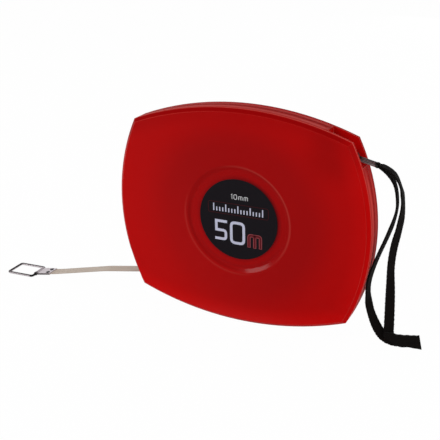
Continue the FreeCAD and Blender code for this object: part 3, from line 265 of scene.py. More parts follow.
class Shell(Finish):
    """Glossy translucent plastic: deeper where the wound tape lies behind, with painted highlights
    on its edges and painted light and shade over its faces.
    """

    POCKET_X, POCKET_Z = 66.0, 53.0
    FRONT_LIP_Y, REAR_LIP_Y, JOINT_Y = 6.6, 13.8, 10.6
    COIL_EDGE, CASE_EDGE = 49.0, 80.0
    DISH_EDGE, DISH_EDGE_LOW, DISH_WALL, DISH_FOOT = 38.6, 40.2, 37.5, 35.0
    LABEL_EDGE, LABEL_SHADE_EDGE = 28.5, 33.0

    def __init__(self):
        super().__init__("red_plastic", Specular_IOR_Level=0.015, Coat_Roughness=0.14)
        x, y, z = self.x, self.y, self.z = self.axes()
        self.facing_back = self.facing()[1]
        self.facing_front = 0 - self.facing_back
        self.front = self.facing_front.ramp(0.35, 0.85)
        self.flat = self.facing_back.magnitude().ramp(0.35, 0.85)
        self.radius = (x * x + z * z) ** 0.5
        self.top_arc = (x * x + (z.magnitude() + TOP_ARC_MIDDLE * MM) ** 2.0) ** 0.5
        self.side_arc = ((x.magnitude() + SIDE_ARC_MIDDLE * MM) ** 2.0 + z * z) ** 0.5
        self.wall = (1 - self.flat) * self.by_top(0.8, 0.0).or_more(self.by_side(0.8, 0.0))
        self.by_pocket = x.past(58.5, 62.5) * z.past(35.0, 45.0)

        self.body = self.ground_colour()
        self.paint_faces()
        self.paint_dish()
        self.paint_edge()
        self.paint_crown()
        self.set("Base Color", self.body)
        self.set("Roughness", self.noise(60.0, 3.0) * 0.1 + 0.26 + self.wall * 0.2)
        self.set("Coat Weight", self.gloss())
        grain = self.noise(2600.0, 2.0)
        self.set("Normal", self.bump(grain, 0.01, 0.5, self.rounded(0.4)))

    def by_top(self, start, end):
        """0 further in from the top or bottom outline than start, 1 nearer to it than end."""
        return self.top_arc.past(TOP_ARC_RADIUS - start, TOP_ARC_RADIUS - end)

    def by_side(self, start, end):
        """0 further in from the outline at a side than start, 1 nearer to it than end."""
        return self.side_arc.past(SIDE_ARC_RADIUS - start, SIDE_ARC_RADIUS - end)

    def paint(self, share, colour):
        self.body = self.blend(share, self.body, colour)

    def ground_colour(self):
        """Deeper over the coil, and a little cloudy."""
        over_coil = 1 - self.radius.past(self.COIL_EDGE, self.CASE_EDGE)
        cloud = self.noise(14.0, 4.0)
        deep = (over_coil * 0.88 + cloud * 0.3).at_most(1.0)
        return self.blend(deep, tone(170, 5, 5), tone(149, 8, 9))

    def paint_faces(self):
        """Painted light and shade on the faces: painted light to the lower left, at the bottom and
        at the right, and painted shade by the pocket and along the top.
        """
        x, z = self.x, self.z
        # Painted light, brighter towards the lower left.
        light_to_lower_left = (0 - x - z).past(-20.0, 130.0)
        self.paint(light_to_lower_left * 0.5, tone(184, 6, 6))
        # Painted shade, deeper by the pocket.
        from_pocket = ((x - self.POCKET_X * MM) ** 2.0 + (z - self.POCKET_Z * MM) ** 2.0) ** 0.5
        pocket_shade = 1 - from_pocket.past(4.0, 26.0)
        self.paint(pocket_shade * 0.33, tone(112, 5, 5))
        # Painted light along the bottom and right margins.
        low_margin_light = self.by_top(16.2, 2.7) * (0 - z).past(10.0, 40.0)
        right_margin_light = self.by_side(16.4, 2.4) * x.past(0.0, 50.0) * 0.6
        self.paint(low_margin_light.or_more(right_margin_light) * 0.42, tone(206, 4, 4))
        # Painted shade along the top margin.
        top_margin_shade = self.by_top(13.2, 2.7) * z.past(20.0, 50.0)
        self.paint(top_margin_shade * 0.2, tone(112, 3, 5))

    def paint_dish(self):
        """The edge of the sunken centre in painted light and shade: painted highlights to the upper
        right, painted shade to the lower left and at its foot, and a painted shadow round the
        label.
        """
        x, z, radius = self.x, self.z, self.radius
        upper_right = (x * 0.85 + z * 0.5).past(0.0, 35.0) * self.front
        lower_left = (x * -0.77 - z * 0.64).past(12.0, 34.0) * self.front
        low = (0 - z).past(8.0, 28.0) * self.front
        glint = tone(206, 96, 84)
        # Painted highlights on the dish's outer edge, to the upper right and faintly to the lower
        # left.
        self.paint(radius.stripe(self.DISH_EDGE, 1.3) * upper_right * 0.2, glint)
        self.paint(radius.stripe(self.DISH_EDGE_LOW, 1.2) * lower_left * 0.1, glint)
        # Painted shade on the dish's wall to the lower left, and at its foot towards the bottom.
        self.paint(radius.stripe(self.DISH_WALL, 1.6) * lower_left * 0.4, tone(118, 1, 3))
        self.paint(radius.stripe(self.DISH_FOOT, 2.8) * low * 0.25, tone(110, 10, 14))
        # Painted shadow round the label, strongest to the upper right.
        label_shadow = 1 - radius.past(self.LABEL_EDGE, self.LABEL_SHADE_EDGE)
        self.paint(label_shadow * (upper_right * 0.5 + self.front * 0.3), tone(60, 8, 14))

    def paint_edge(self):
        """Round the edge: a painted highlight along each cover's lip, a dark joint, painted shade
        on the rear crown, and painted light in the corner's pocket.
        """
        y, z, wall = self.y, self.z, self.wall
        on_top = z.past(35.0, 55.0)
        # Painted highlights along each cover's lip on the edge wall, streaked, fading by the pocket
        # and low at the right.
        lip_highlights = y.stripe(self.FRONT_LIP_Y, 3.4) * 0.62 + y.stripe(self.REAR_LIP_Y, 2.6) * 0.42
        streaks = self.noise(500.0, 3.0, 0.6, (0.15, 1.0, 0.15)) * 0.5 + 0.75
        low_right = (self.x * 0.7 - z).past(88.0, 102.0)
        fades = (1 - self.by_pocket * 0.7) * (1 - low_right * 0.7)
        lip_highlight_colour = self.blend(on_top, tone(224, 80, 70), tone(196, 78, 72))
        self.paint((lip_highlights * streaks * wall * fades).at_most(0.8), lip_highlight_colour)
        joint = y.stripe(self.JOINT_Y, 1.3).or_more(y.stripe(self.JOINT_Y, 2.2) * on_top)
        self.paint(joint * wall * 0.85, tone(84, 8, 10))
        # Painted shade on the rear crown, darker and greyer.
        rear_crown = y.past(16.5, 19.0) * (1 - self.flat * 0.8)
        self.paint(rear_crown * 0.8, tone(118, 44, 46))
        behind_front_wall, before_rear_wall = y.past(4.0, 4.8), 1 - y.past(16.2, 17.0)
        # Painted light inside the corner's pocket, less of it higher up.
        pocket = behind_front_wall * before_rear_wall * (1 - wall) * self.by_pocket
        darker_up = z.past(52.0, 64.0) * 0.4
        self.paint(pocket * (0.8 - darker_up), tone(212, 9, 9))

    def paint_crown(self):
        """Where the front turns into the edge: painted shade on the top crown, painted light on the
        right crown, and painted highlights along the crown's edge and on what is sharp.
        """
        x, y, z = self.x, self.y, self.z
        crown = y.past(0.1, 0.6) * (1 - y.past(2.2, 2.8))
        top_crown_shade, right_crown_light = crown * z.past(40.0, 52.0), crown * x.past(70.0, 84.0)
        # Painted shade on the top crown, painted light on the right crown.
        self.paint(top_crown_shade * 0.55, tone(128, 3, 5))
        self.paint(right_crown_light * 0.4, tone(206, 8, 8))
        # Painted highlight along the crown's outer edge.
        crown_edge_highlight = y.stripe(2.8, 0.7) * self.wall
        self.paint(crown_edge_highlight * 0.75, tone(238, 92, 82))
        specks = self.noise(900.0, 2.0) * 0.6 + 0.65
        front_upper_right = x.past(-60.0, 0.0) * (1 - y.past(0.6, 1.6)) * z.past(-30.0, 30.0)
        # Painted highlights on sharp edges, fewer to the front's upper right.
        edge_wear_and_highlight = self.edges(0.6) * 4.2 * specks * (1 - front_upper_right * 0.65)
        self.paint(edge_wear_and_highlight.at_most(0.6), tone(214, 92, 82))

    def gloss(self):
        """Only on the two faces, and most on the front's lower left."""
        on_front, on_back = 0.2, 0.1
        lower_left = (0 - self.x - self.z * 0.6).past(-50.0, 60.0) * 0.2
        return (self.facing_front.ramp(0.76, 0.90) * (lower_left + on_front)
                + self.facing_back.ramp(0.76, 0.90) * on_back)


def label_print(name, colour, rough=0.4):
    """Flat print: its colour, a little uneven."""
    f = Finish(name, Roughness=rough, Specular_IOR_Level=0.06)
    f.set("Base Color", f.blend(f.noise(700.0, 3.0) * 0.25, colour, dimmed(colour, 0.75)))
    return f.set("Normal", f.bump(f.noise(3000.0), 0.006, 0.3))


def black_plastic(name, colour, grain, rough):
    """Moulded black plastic, grained, grey where its edges are rubbed."""
    f = Finish(name, Specular_IOR_Level=0.35)
    edge_wear_and_highlight = (f.edges(0.5) * 1.6).at_most(0.4)
    patch = f.noise(90.0, 3.0)
    base = f.blend(patch * 0.4, colour, dimmed(colour, 1.5))
    f.set("Base Color", f.blend(edge_wear_and_highlight, base, tone(88, 88, 92)))
    f.set("Roughness", patch * 0.2 + rough)
    return f.set("Normal", f.bump(f.noise(2200.0, 2.0), grain, 0.6, f.rounded(0.3)))


def steel(name, colour, rough, brushed=False):
    """Plated or polished metal, with brushed lines where it is asked for."""
    f = Finish(name, Metallic=1.0)
    patch = f.noise(120.0, 4.0)
    f.set("Base Color", f.blend(patch * 0.6, colour, dimmed(colour, 0.6)))
    f.set("Roughness", patch * 0.18 + rough)
    lines = f.noise(1200.0, 2.0, 0.6, (0.12, 1.0, 1.0) if brushed else None)
    return f.set("Normal", f.bump(lines, 0.008, 0.35, f.rounded(0.2)))


def upper_side(f, low, high):
    """1 where a thin wire faces up and back, 0 on the side towards the front."""
    back, up = f.facing()[1:]
    return (back * 0.4 + up * 0.9).ramp(low, high)


def ring_chrome():
    """Plated wire in painted reflections, dark along its top and grey underneath, and in painted
    shadow black by the bar that turns in the clamp's eye.
    """
    f = Finish("ring_chrome", Metallic=0.5)
    patch = f.noise(400.0, 3.0)
    # Painted reflections: dark along the top, light on the side, grey underneath.
    dark_top_reflection = (upper_side(f, -0.15, 0.15) * (patch * 0.4 + 0.75)).at_most(1.0)
    lower_side = (0 - f.facing()[2]).ramp(0.2, 0.7)
    bright = f.blend(lower_side, tone(216, 206, 210), tone(96, 88, 90))
    wire = f.blend(dark_top_reflection, bright, tone(40, 32, 32))
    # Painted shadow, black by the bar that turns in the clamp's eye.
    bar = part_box("end_ring")[1][0] / MM
    bar_shadow = f.axes()[0].past(bar - 3.4, bar - 2.0)
    f.set("Base Color", f.blend(bar_shadow, wire, tone(16, 13, 13)))
    f.set("Roughness", patch * 0.15 + 0.28)
    return f.set("Normal", f.bump(patch, 0.006, 0.3))


def dull_wire():
    """Grey drawn wire with a painted dark reflection along its top, black in painted shade deep in
    the pocket, and black at the end where the webbing folds round it.
    """
    f = Finish("dull_wire", Metallic=0.5)
    patch = f.noise(260.0, 4.0, 0.6, (0.2, 1.0, 1.0))
    wire = f.blend(patch, tone(176, 154, 154), tone(108, 94, 94))
    # Painted dark reflection along the wire's top.
    wire = f.blend(upper_side(f, 0.0, 0.35) * 0.85, wire, tone(40, 36, 36))
    x = f.axes()[0]
    # Painted shade deep in the pocket, and black at the end where the webbing folds round it.
    shade_in_pocket, by_webbing = 1 - x.past(81.5, 84.0), x.past(92.4, 93.4)
    f.set("Base Color", f.blend(shade_in_pocket.or_more(by_webbing), wire, tone(20, 18, 18)))
    f.set("Roughness", patch * 0.2 + 0.3)
    return f.set("Normal", f.bump(patch, 0.01, 0.35))


def pressed_clamp():
    """Plated sheet folded round the tape's end, with painted shadow where the ring turns in its eye
    at the front, and painted shade along its front and its edges.
    """
    f = Finish("pressed_clamp", Metallic=0.5)
    clamp_shadow = tone(24, 18, 18)
    x, y, _ = f.axes()
    patch = f.noise(120.0, 4.0)
    base = f.blend(patch * 0.5, tone(210, 200, 205), tone(172, 162, 166))
    # Painted shade along the sheet's edges.
    base = f.blend((f.edges(0.3) * 2.0).at_most(0.5), base, tone(34, 30, 30))
    eye_x, near_y, _ = (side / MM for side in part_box("tape_end_clamp")[0])
    front = 1 - y.past(near_y + 0.5, near_y + 3.0)
    by_eye = 1 - x.past(eye_x + 2.0, eye_x + 6.0)
    front_edge = (0 - f.facing()[1]).ramp(0.5, 0.9)
    # Painted shadow by the ring's eye at the front, and painted shade on the faces towards the
    # front.
    f.set("Base Color", f.blend((front * by_eye).or_more(front_edge) * 0.85, base, clamp_shadow))
    f.set("Roughness", patch * 0.18 + 0.2)
    return f.set("Normal", f.bump(f.noise(1200.0, 2.0), 0.008, 0.35, f.rounded(0.2)))


def coated_tape():
    """Ivory lacquer over steel, with fine wear across it, and darker towards its edges."""
    f = Finish("coated_tape", Specular_IOR_Level=0.25)
    patch = f.noise(160.0, 4.0, 0.6, (0.25, 1.0, 1.0))
    base = f.blend(patch * 0.7, tone(192, 176, 160), tone(162, 145, 130))
    # Darker towards the tape's edges.
    near_edge = (f.axes()[1] - SEAM_Y * MM).magnitude().past(4.0, 5.0)
    f.set("Base Color", f.blend(near_edge * 0.35, base, tone(120, 106, 96)))
    f.set("Roughness", patch * 0.2 + 0.26)
    return f.set("Normal", f.bump(f.noise(1500.0), 0.006, 0.4))


def wound_tape():
    """The coil's faces: the edges of many turns lying on each other."""
    turn_pitch = 0.3
    f = Finish("wound_tape", Metallic=0.6, Roughness=0.4)
    x, _, z = f.axes()
    to_angle = 2 * math.pi / (turn_pitch * MM)
    turns = ((x * x + z * z) ** 0.5 * to_angle).does("SINE") * 0.5 + 0.5
    f.set("Base Color", f.blend(turns, tone(120, 112, 104), tone(190, 180, 168)))
    return f.set("Normal", f.bump(turns, 0.05, 0.8))


def webbing():
    """Plain woven polyester: ribs across, warps along, a little fuzz."""
    ribs_to_angle, warps_to_angle = 7400.0, 9600.0
    f = Finish("webbing", Specular_IOR_Level=0.04, Sheen_Weight=0.02, Sheen_Roughness=0.5)
    ribs = (f.along("along") * ribs_to_angle).does("SINE")
    warps = (f.along("across") * warps_to_angle).does("SINE")
    weave = ribs * warps * 0.5 + 0.5
    fuzz = f.noise(1800.0, 4.0, 0.7)
    f.set("Base Color", f.blend(weave * 0.6 + fuzz * 0.4, tone(6, 5, 5), tone(25, 20, 18)))
    f.set("Roughness", 0.9 - weave * 0.15)
    return f.set("Normal", f.bump(weave + fuzz * 0.5, 0.13, 0.8))


FINISHES = {
    "case_red": Shell(),
    "label_black": label_print("label_black", tone(27, 24, 28), rough=0.35),
    "zinc_steel": steel("zinc_steel", tone(150, 151, 154), rough=0.28, brushed=True),
    "hub_moulding": black_plastic("hub_moulding", tone(58, 58, 60), grain=0.02, rough=0.45),
    "coated_tape": coated_tape(),
    "crank_black": black_plastic("crank_black", tone(26, 26, 28), grain=0.02, rough=0.35),
    "knob_black": black_plastic("knob_black", tone(21, 21, 23), grain=0.01, rough=0.28),
    "bright_chrome": steel("bright_chrome", tone(206, 198, 201), rough=0.06),
    "webbing_black": webbing(),
}
INK_PALE = label_print("ink_pale", tone(184, 186, 206))
INK_WHITE = label_print("ink_white", tone(212, 213, 216))
INK_ROSE = label_print("ink_rose", tone(138, 66, 70))
INK_RED = label_print("ink_red", tone(88, 26, 32))
INK_FAINT_RED = label_print("ink_faint_red", tone(74, 24, 27))
BAIL_WIRE = dull_wire()
NODE_FINISHES = {
    "tape_coil": wound_tape(),
    # The rivets are plain dark.
    "clamp_rivets": steel("dark_rivet", tone(40, 36, 38), rough=0.3),
    "strap_bail": BAIL_WIRE,
    "strap_pin": BAIL_WIRE,
    "tape_end_clamp": pressed_clamp(),
    "end_ring": ring_chrome(),
}

for node in NODES.values():
    for held in node.material_slots:
        name = held.material.name.split(".")[0]
        held.material = NODE_FINISHES.get(node.name, FINISHES[name]).material


# ---------------------------------------------------------------- making pieces

def piece(name, verts, faces, finish, body, smooth=True):
    """A mesh piece in millimetres, closed and facing outwards, riding on its body."""
    mesh = bpy.data.meshes.new(name)
    mesh.from_pydata([Vector(v) * MM for v in verts], [], faces)
    work = bmesh.new()
    work.from_mesh(mesh)
    bmesh.ops.recalc_face_normals(work, faces=work.faces)
    work.to_mesh(mesh)
    work.free()
    for face in mesh.polygons:
        face.use_smooth = smooth
    mesh.materials.append(finish.material)
    made = bpy.data.objects.new(name, mesh)
    SCENE.collection.objects.link(made)
    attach(made, body)
    return made


def loft(rows):
    """Vertices and faces through rows of points that each go once round, closed at both ends."""
    count = len(rows[0])
    verts = [point for row in rows for point in row]
    faces = []
    for r in range(len(rows) - 1):
        for c in range(count):
            d = (c + 1) % count
            faces.append((r * count + c, r * count + d, (r + 1) * count + d, (r + 1) * count + c))
    faces.append(tuple(reversed(range(count))))
    faces.append(tuple((len(rows) - 1) * count + c for c in range(count)))
    return verts, faces


# ---------------------------------------------------------------- strap

def smooth_line(corners):
    """The points of a smooth line that has the strap's corners as its control points."""
    curve = bpy.data.curves.new("line", "CURVE")
    curve.dimensions = "3D"
    curve.resolution_u = 48
    spline = curve.splines.new("NURBS")
    spline.points.add(len(corners) - 1)
    for point, (x, z) in zip(spline.points, corners):
        point.co = (x * MM, SEAM_Y * MM, z * MM, 1.0)
    spline.order_u = 3
    spline.use_endpoint_u = True
    holder = bpy.data.objects.new("line", curve)
    SCENE.collection.objects.link(holder)
    mesh = bpy.data.meshes.new_from_object(holder)
    points = [vertex.co / MM for vertex in mesh.vertices]
    bpy.data.objects.remove(holder)
    bpy.data.meshes.remove(mesh)
    return points


def lengths(points):
    """How far along the line each of its points is."""
    out = [0.0]
    for a, b in zip(points, points[1:]):
        out.append(out[-1] + (b - a).length)
    return out


def band_section(width, thick):
    """Half-round edges, flat faces: a woven band cut across, as (across, up) pairs."""
    flat_steps, edge_steps = 12, 6
    edge = thick / 2
    flat = width / 2 - edge
    ring = []
    for side in (1, -1):
        for k in range(flat_steps + 1):
            ring.append((mix(-side, side, k / flat_steps) * flat, side * edge))
        for k in range(1, edge_steps):
            t = side * math.pi / 2 - math.pi * k / edge_steps
            ring.append((side * flat + edge * math.cos(t), edge * math.sin(t)))
    return ring


def strays(reach, side):
    """How far the band's edge strays, its picks ending unevenly."""
    return (0.14 * math.sin(2.7 * reach + 1.9 * side) * math.sin(0.83 * reach + side)
            + 0.07 * math.sin(5.3 * reach + 2.1 * side))


def woven(name, rows, along, across):
    """A piece of webbing through rows of points, which carries the lie of its threads."""
    verts, faces = loft(rows)
    made = piece(name, verts, faces, FINISHES["webbing_black"], "strap")
    for threads, numbers in (("along", along), ("across", across)):
        layer = made.data.attributes.new(threads, "FLOAT", "POINT")
        layer.data.foreach_set("value", numbers)
    return made


def band(name, points, width_at, thick_at, across_at):
    """A woven band along points, whose width lies along across_at(point, tangent)."""
    reach = lengths(points)
    rows, along, across = [], [], []
    for i, point in enumerate(points):
        share = reach[i] / reach[-1]
        a, b = points[max(i - 1, 0)], points[min(i + 1, len(points) - 1)]
        tangent = (b - a).normalized()
        side = across_at(point, tangent)
        side = (side - tangent * side.dot(tangent)).normalized()
        up = side.cross(tangent).normalized()
        width = width_at(share)
        ring = [(s + s / width * 2 * strays(reach[i], math.copysign(1, s)), u)
                for s, u in band_section(width, thick_at(share))]
        rows.append([point + side * s + up * u for s, u in ring])
        along += [reach[i] * MM] * len(ring)
        across += [s * MM for s, _ in ring]
    return woven(name, rows, along, across)


def turning(steps):
    """The band hangs edge on at the top and turns its face to the front as it drops.

    Each step gives the heights where a turn starts and ends, and its share of the whole."""
    turns_to = Vector((0.395, -0.84, 0.372))

    def across_at(point, tangent):
        turn = sum(part * ease((start - point.z) / (start - end)) for start, end, part in steps)
        flat = Vector((0, 1, 0)) - tangent * tangent.y
        shown = turns_to.cross(tangent).normalized()
        if shown.dot(flat) < 0:
            shown = -shown
        return flat.normalized().lerp(shown, turn)
    return across_at


def run_width(share):
    """Drawn in by the fold, its full width from there on, and pressed wider low down."""
    pressed_wider = 0.5
    out_of_fold, lower_third = ease(share * 9), ease(share * 3 - 2)
    return mix(WIDTH_AT_FOLD, BAND_WIDTH, out_of_fold) + pressed_wider * lower_third


def strap(sewn_ends):
    """The band's two runs, from the fold at the bail down to the sewn ends."""
    outer_turn = [(60.0, 50.0, 0.06), (45.0, 38.0, -0.28), (36.5, 31.0, 0.25),
                  (28.0, 11.0, 0.35), (10.0, -2.0, 0.12), (-20.0, -50.0, 0.48)]
    inner_turn = [(60.0, 50.0, 0.06), (43.0, 36.0, -0.14), (24.0, 6.0, 0.27),
                  (-41.0, -50.0, 0.28), (-54.0, -72.0, 0.5)]
    for name, node, corners, steps, carried in (
            ("strap_outer_band", "strap_outer_run", OUTER_RUN, outer_turn, [sewn_ends]),
            ("strap_inner_band", "strap_inner_run", INNER_RUN, inner_turn, [])):
        points = smooth_line(corners)
        run = band(name, points, run_width, lambda share: BAND_THICK, turning(steps))
        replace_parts(run, node)
        lengths(points)[-1] * MM


def strap_fold():
    """The band's middle, folded round the bail's crossbar and gathered at the neck."""
    bar = Vector((BAIL_BAR[0], SEAM_Y, BAIL_BAR[1]))
    out = Vector((0.964, 0.0, -0.265))
    up = Vector((0.265, 0.0, 0.964))
    round_bar, half_apart, neck_end = 1.4, 0.667, 3.3
    gathered_width, gathered_thick = 2.6, 0.8
    neck_steps, turn_steps = 12, 16

    def height(s):
        """Tight round the bar, then the two layers lie together."""
        return (max(round_bar ** 2 - s ** 2, 0.0) ** 2 + half_apart ** 4) ** 0.25

    def gathered(share):
        """0 at both ends of the fold, 1 round the bar."""
        return ease(min(share, 1 - share) * 3.4)

    points = []
    for k in range(neck_steps):
        s = neck_end * (1 - k / neck_steps)
        points.append(bar + out * s + up * height(s))
    for k in range(turn_steps + 1):
        turn = math.pi * k / turn_steps
        points.append(bar + up * (round_bar * math.cos(turn)) - out * (round_bar * math.sin(turn)))
    for k in range(1, neck_steps + 1):
        s = neck_end * k / neck_steps
        points.append(bar + out * s - up * height(s))
    fold = band("strap_fold_band", points,
                lambda share: mix(WIDTH_AT_FOLD, gathered_width, gathered(share)),
                lambda share: mix(BAND_THICK, gathered_thick, gathered(share)),
                lambda point, tangent: Vector((0, 1, 0)))
    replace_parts(fold, "strap_fold")


def sewn_low_edge(away):
    """The sewn ends' lower edge above the floor: high where the runs come in, then a low arch."""
    first_height, level_at = 6.4, 11.5
    arch_height, arch_from, arch_rise, arch_top_end, arch_fall = 1.0, 6.0, 6.0, 17.0, 7.5
    clear_of_floor = 0.2
    comes_down = first_height * (1 - ease(away / level_at))
    arch = arch_height * ease((away - arch_from) / arch_rise)
    arch *= 1 - ease((away - arch_top_end) / arch_fall)
    wave = 0.16 * math.sin(away * 0.9)
    return comes_down + arch + wave + clear_of_floor


def sewn_high_edge(away):
    """Their upper edge: it drops a little past the runs and lifts at the cut."""
    first_height = 10.6
    drops = 1.3 * ease((away - 3.5) / 6.5)
    lifts = 0.25 * ease((away - 19.0) / 5.0)
    wave = 0.14 * math.sin(away * 1.3 + 0.5)
    return first_height - drops + wave + lifts


def strap_stub():
    """The two ends of the band, sewn face to face and cut off, standing on their edges."""
    turn = math.radians(16.5)
    run = Vector((math.cos(turn), math.sin(turn), 0.0))
    side = Vector((-math.sin(turn), math.cos(turn), 0.0))
    start = Vector((105.3, 6.1, FLOOR_Z))
    length, row_count, face_count = 25.0, 56, 28
    two_thick, near_side, rib, rib_turns = 2.64, 0.04, 0.05, 40
    rows, along, across = [], [], []
    for i in range(row_count):
        share = i / (row_count - 1)
        away = share * length
        low, high = sewn_low_edge(away), sewn_high_edge(away)
        lean = 2.0 * share ** 5
        apart = 0.10 + 0.05 * math.sin(away * 0.8)
        ring = []
        for far_side in (True, False):
            for k in range(face_count):
                t = k / (face_count - 1) if far_side else 1 - k / (face_count - 1)
                ribbed = rib * math.sin(t * rib_turns)
                s = two_thick + apart - ribbed if far_side else near_side + ribbed
                ring.append((s, mix(low, high, t)))
        row = []
        for s, h in ring:
            back = lean * (h / high)
            row.append(start + run * (away - back) + side * s + Vector((0, 0, h)))
            along.append((away - back) * MM)
            across.append(h * MM)
        rows.append(row)
    stub = woven("strap_sewn_ends", rows, along, across)
    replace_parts(stub, "strap_stub")
    return stub


# ---------------------------------------------------------------- print on the label

def round_corners(points, radius, closed=False):
    """A drawn line with its corners rounded."""
    steps = 5
    out = []
    count = len(points)
    for i, point in enumerate(points):
        here = Vector(point)
        if not closed and i in (0, count - 1):
            out.append(here)
            continue
        before, after = Vector(points[i - 1]), Vector(points[(i + 1) % count])
        size = min(radius, (before - here).length / 2, (after - here).length / 2)
        a = here + (before - here).normalized() * size
        b = here + (after - here).normalized() * size
        for k in range(steps + 1):
            t = k / steps
            out.append((a * (1 - t) + here * t) * (1 - t) + (here * (1 - t) + b * t) * t)
    return out


def across_stroke(before, point, after):
    """The way across a stroke at a point, longer at a corner so that the stroke keeps its width."""
    sharpest = 0.5
    way_in, way_out = (point - before).normalized(), (after - point).normalized()
    if not way_in.length:
        way_in = way_out
    if not way_out.length:
        way_out = way_in
    mid = (way_in + way_out).normalized()
    return Vector((-mid.y, mid.x)) / max(mid.dot(way_out), sharpest)


def printed_line(name, lines, finish, stroke, proud=0.03):
    """Strokes of ink on the label: flat bands that stand proud of it."""
    sunk = 0.02
    verts, faces = [], []
    for points, closed in lines:
        points = [Vector(p) for p in points]
        count = len(points)
        base = len(verts)
        for i, point in enumerate(points):
            before = points[i - 1] if closed or i else point
            after = points[(i + 1) % count] if closed or i < count - 1 else point
            across = across_stroke(before, point, after)
            for sign in (1, -1):
                edge = point + across * (sign * stroke / 2)
                verts.append((edge.x, LABEL_Y - proud, edge.y))
                verts.append((edge.x, LABEL_Y + sunk, edge.y))
        spans = count if closed else count - 1
        for i in range(spans):
            a, b = base + 4 * i, base + 4 * ((i + 1) % count)
            faces += [(a, b, b + 2, a + 2), (a + 1, a + 3, b + 3, b + 1),
                      (a, a + 1, b + 1, b), (a + 2, b + 2, b + 3, a + 3)]
        if not closed:
            for a in (base, base + 4 * (count - 1)):
                faces.append((a, a + 1, a + 3, a + 2))
    return piece(name, verts, faces, finish, "case", smooth=False)


def fifty():
    """The figures 5 and 0, as their strokes' middles."""
    five = [(-8.4, -2.7), (-16.7, -2.7)] + \
        round_corners([(-16.7, -9.4), (-9.5, -9.4), (-9.5, -15.9), (-17.8, -15.9)], 2.2)
    zero = [(-5.3, -2.5), (4.2, -2.5), (4.2, -17.5), (-5.3, -17.5)]
    return [(five, False), (round_corners(zero, 3.0, True), True)]


def tall_m(foot, middle_top):
    """The letter m that follows the figures, as its strokes' middles."""
    left, middle, right, top = 8.1, 12.4, 16.7, -10.2
    arch = round_corners([(left, foot), (left, top), (right, top), (right, foot)], 1.5)
    return [(arch, False), ([(middle, foot), (middle, middle_top)], False)]


def small_m(left, foot):
    """A letter m as three legs under one rounded bar."""
    tall, wide, corner = 2.5, 2.625, 0.75
    top, right, middle = foot + tall, left + wide, left + wide / 2
    arch = round_corners([(left, foot), (left, top), (right, top), (right, foot)], corner)
    return [(arch, False), ([(middle, foot), (middle, top)], False)]


def ten_mm():
    """The tape's width, 10 mm, as its strokes' middles."""
    one = [(-5.1, 17.7), (-4.3, 18.3), (-4.3, 14.8)]
    zero = round_corners([(-2.9, 18.2), (-0.7, 18.2), (-0.7, 14.9), (-2.9, 14.9)], 0.9, True)
    return [(one, False), (zero, True)] + small_m(0.7, 14.8) + small_m(4.7, 14.8)


def rule_ticks():
    """A plain rule: every fourth tick is long."""
    first, pitch, count, foot, short, long = -18.4, 2.3, 17, 4.6, 3.0, 5.4
    ticks = []
    for k in range(count):
        x = first + pitch * k
        ticks.append(([(x, foot), (x, foot + (long if k % 4 == 0 else short))], False))
    return ticks


def label_print_lines():
    """All the print: the tall m is a dark red stroke laid on a wider rose one."""
    printed_line("print_fifty", fifty(), INK_PALE, stroke=2.0)
    printed_line("print_metre_rim", tall_m(-19.2, -9.4), INK_ROSE, stroke=2.3, proud=0.024)
    printed_line("print_metre", tall_m(-18.9, -9.9), INK_RED, stroke=1.3, proud=0.034)
    printed_line("print_width", ten_mm(), INK_WHITE, stroke=0.35)
    printed_line("print_rule", rule_ticks(), INK_PALE, stroke=0.85)
    border = round_corners([(-22.6, 11.2), (22.6, 11.2), (22.6, 3.2), (-22.6, 3.2)], 1.6, True)
    printed_line("print_border", [(border, True)], INK_FAINT_RED, stroke=0.26)


# ---------------------------------------------------------------- screws

def recess(a, b, head):
    """How deep the cross is cut at a point, 0 to 1: two slots that narrow towards their ends."""
    reach, half = head * 0.62, head * 0.17
    narrows, soft_side, soft_end, end_depth = 0.35, 0.35, 0.25, 0.7
    cut = 0.0
    for on, off in ((a, b), (b, a)):
        share = abs(on) / reach
        if share < 1:
            inside = ease((half * (1 - narrows * share) - abs(off)) / (soft_side * half) + 0.5)
            end = ease((1 - share) / soft_end)
            cut = max(cut, inside * end * mix(1.0, end_depth, share))
    return cut


def cross_screw(x, z, top, head, shank, head_height, tip):
    """A turned screw whose head has a real cross recess. Its axis is along Y."""
    rings, count = 15, 64
    rim, dome_rise, depth = 0.18 * head_height, 0.06 * head_height, 0.55 * head_height
    dome_edge = 0.97

    def circle(radius, y):
        return [(x + radius * math.cos(t), y, z + radius * math.sin(t)) for t in around(count)]

    rows = [circle(shank, tip), circle(shank, top - head_height),
            circle(head, top - head_height), circle(head, top - rim)]
    for r in range(rings, 0, -1):
        share = dome_edge * r / rings
        dome = dome_rise * share ** 4
        row = []
        for t in around(count):
            a, b = head * share * math.cos(t), head * share * math.sin(t)
            row.append((x + a, top - dome - depth * recess(a, b, head), z + b))
        rows.append(row)
    return loft(rows)


def screws(name, node, body, places, **sizes):
    """One piece of like screws at their places as (x, z)."""
    verts, faces = [], []
    for x, z in places:
        base = len(verts)
        v, f = cross_screw(x, z, **sizes)
        verts += v
        faces += [tuple(base + i for i in face) for face in f]
    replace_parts(piece(name, verts, faces, FINISHES["zinc_steel"], body), node)


def all_screws():
    screws("case_screw_heads", "case_screws", "case",
           ((-67.0, 53.0), (67.0, -53.0), (56.0, 62.0), (-60.0, -63.3)),
           top=20.2, head=2.7, shank=1.4, head_height=1.6, tip=3.3)
    out = 18.4 * math.cos(math.radians(45))
    screws("plate_screw_heads", "plate_screws", "drum",
           ((out, out), (-out, out), (-out, -out), (out, -out)),
           top=18.7, head=1.9, shank=1.0, head_height=1.2, tip=10.5)
    screws("axle_screw_head", "axle_screw", "case", ((0.0, 0.0),),
           top=14.6, head=3.2, shank=1.5, head_height=1.8, tip=6.5)


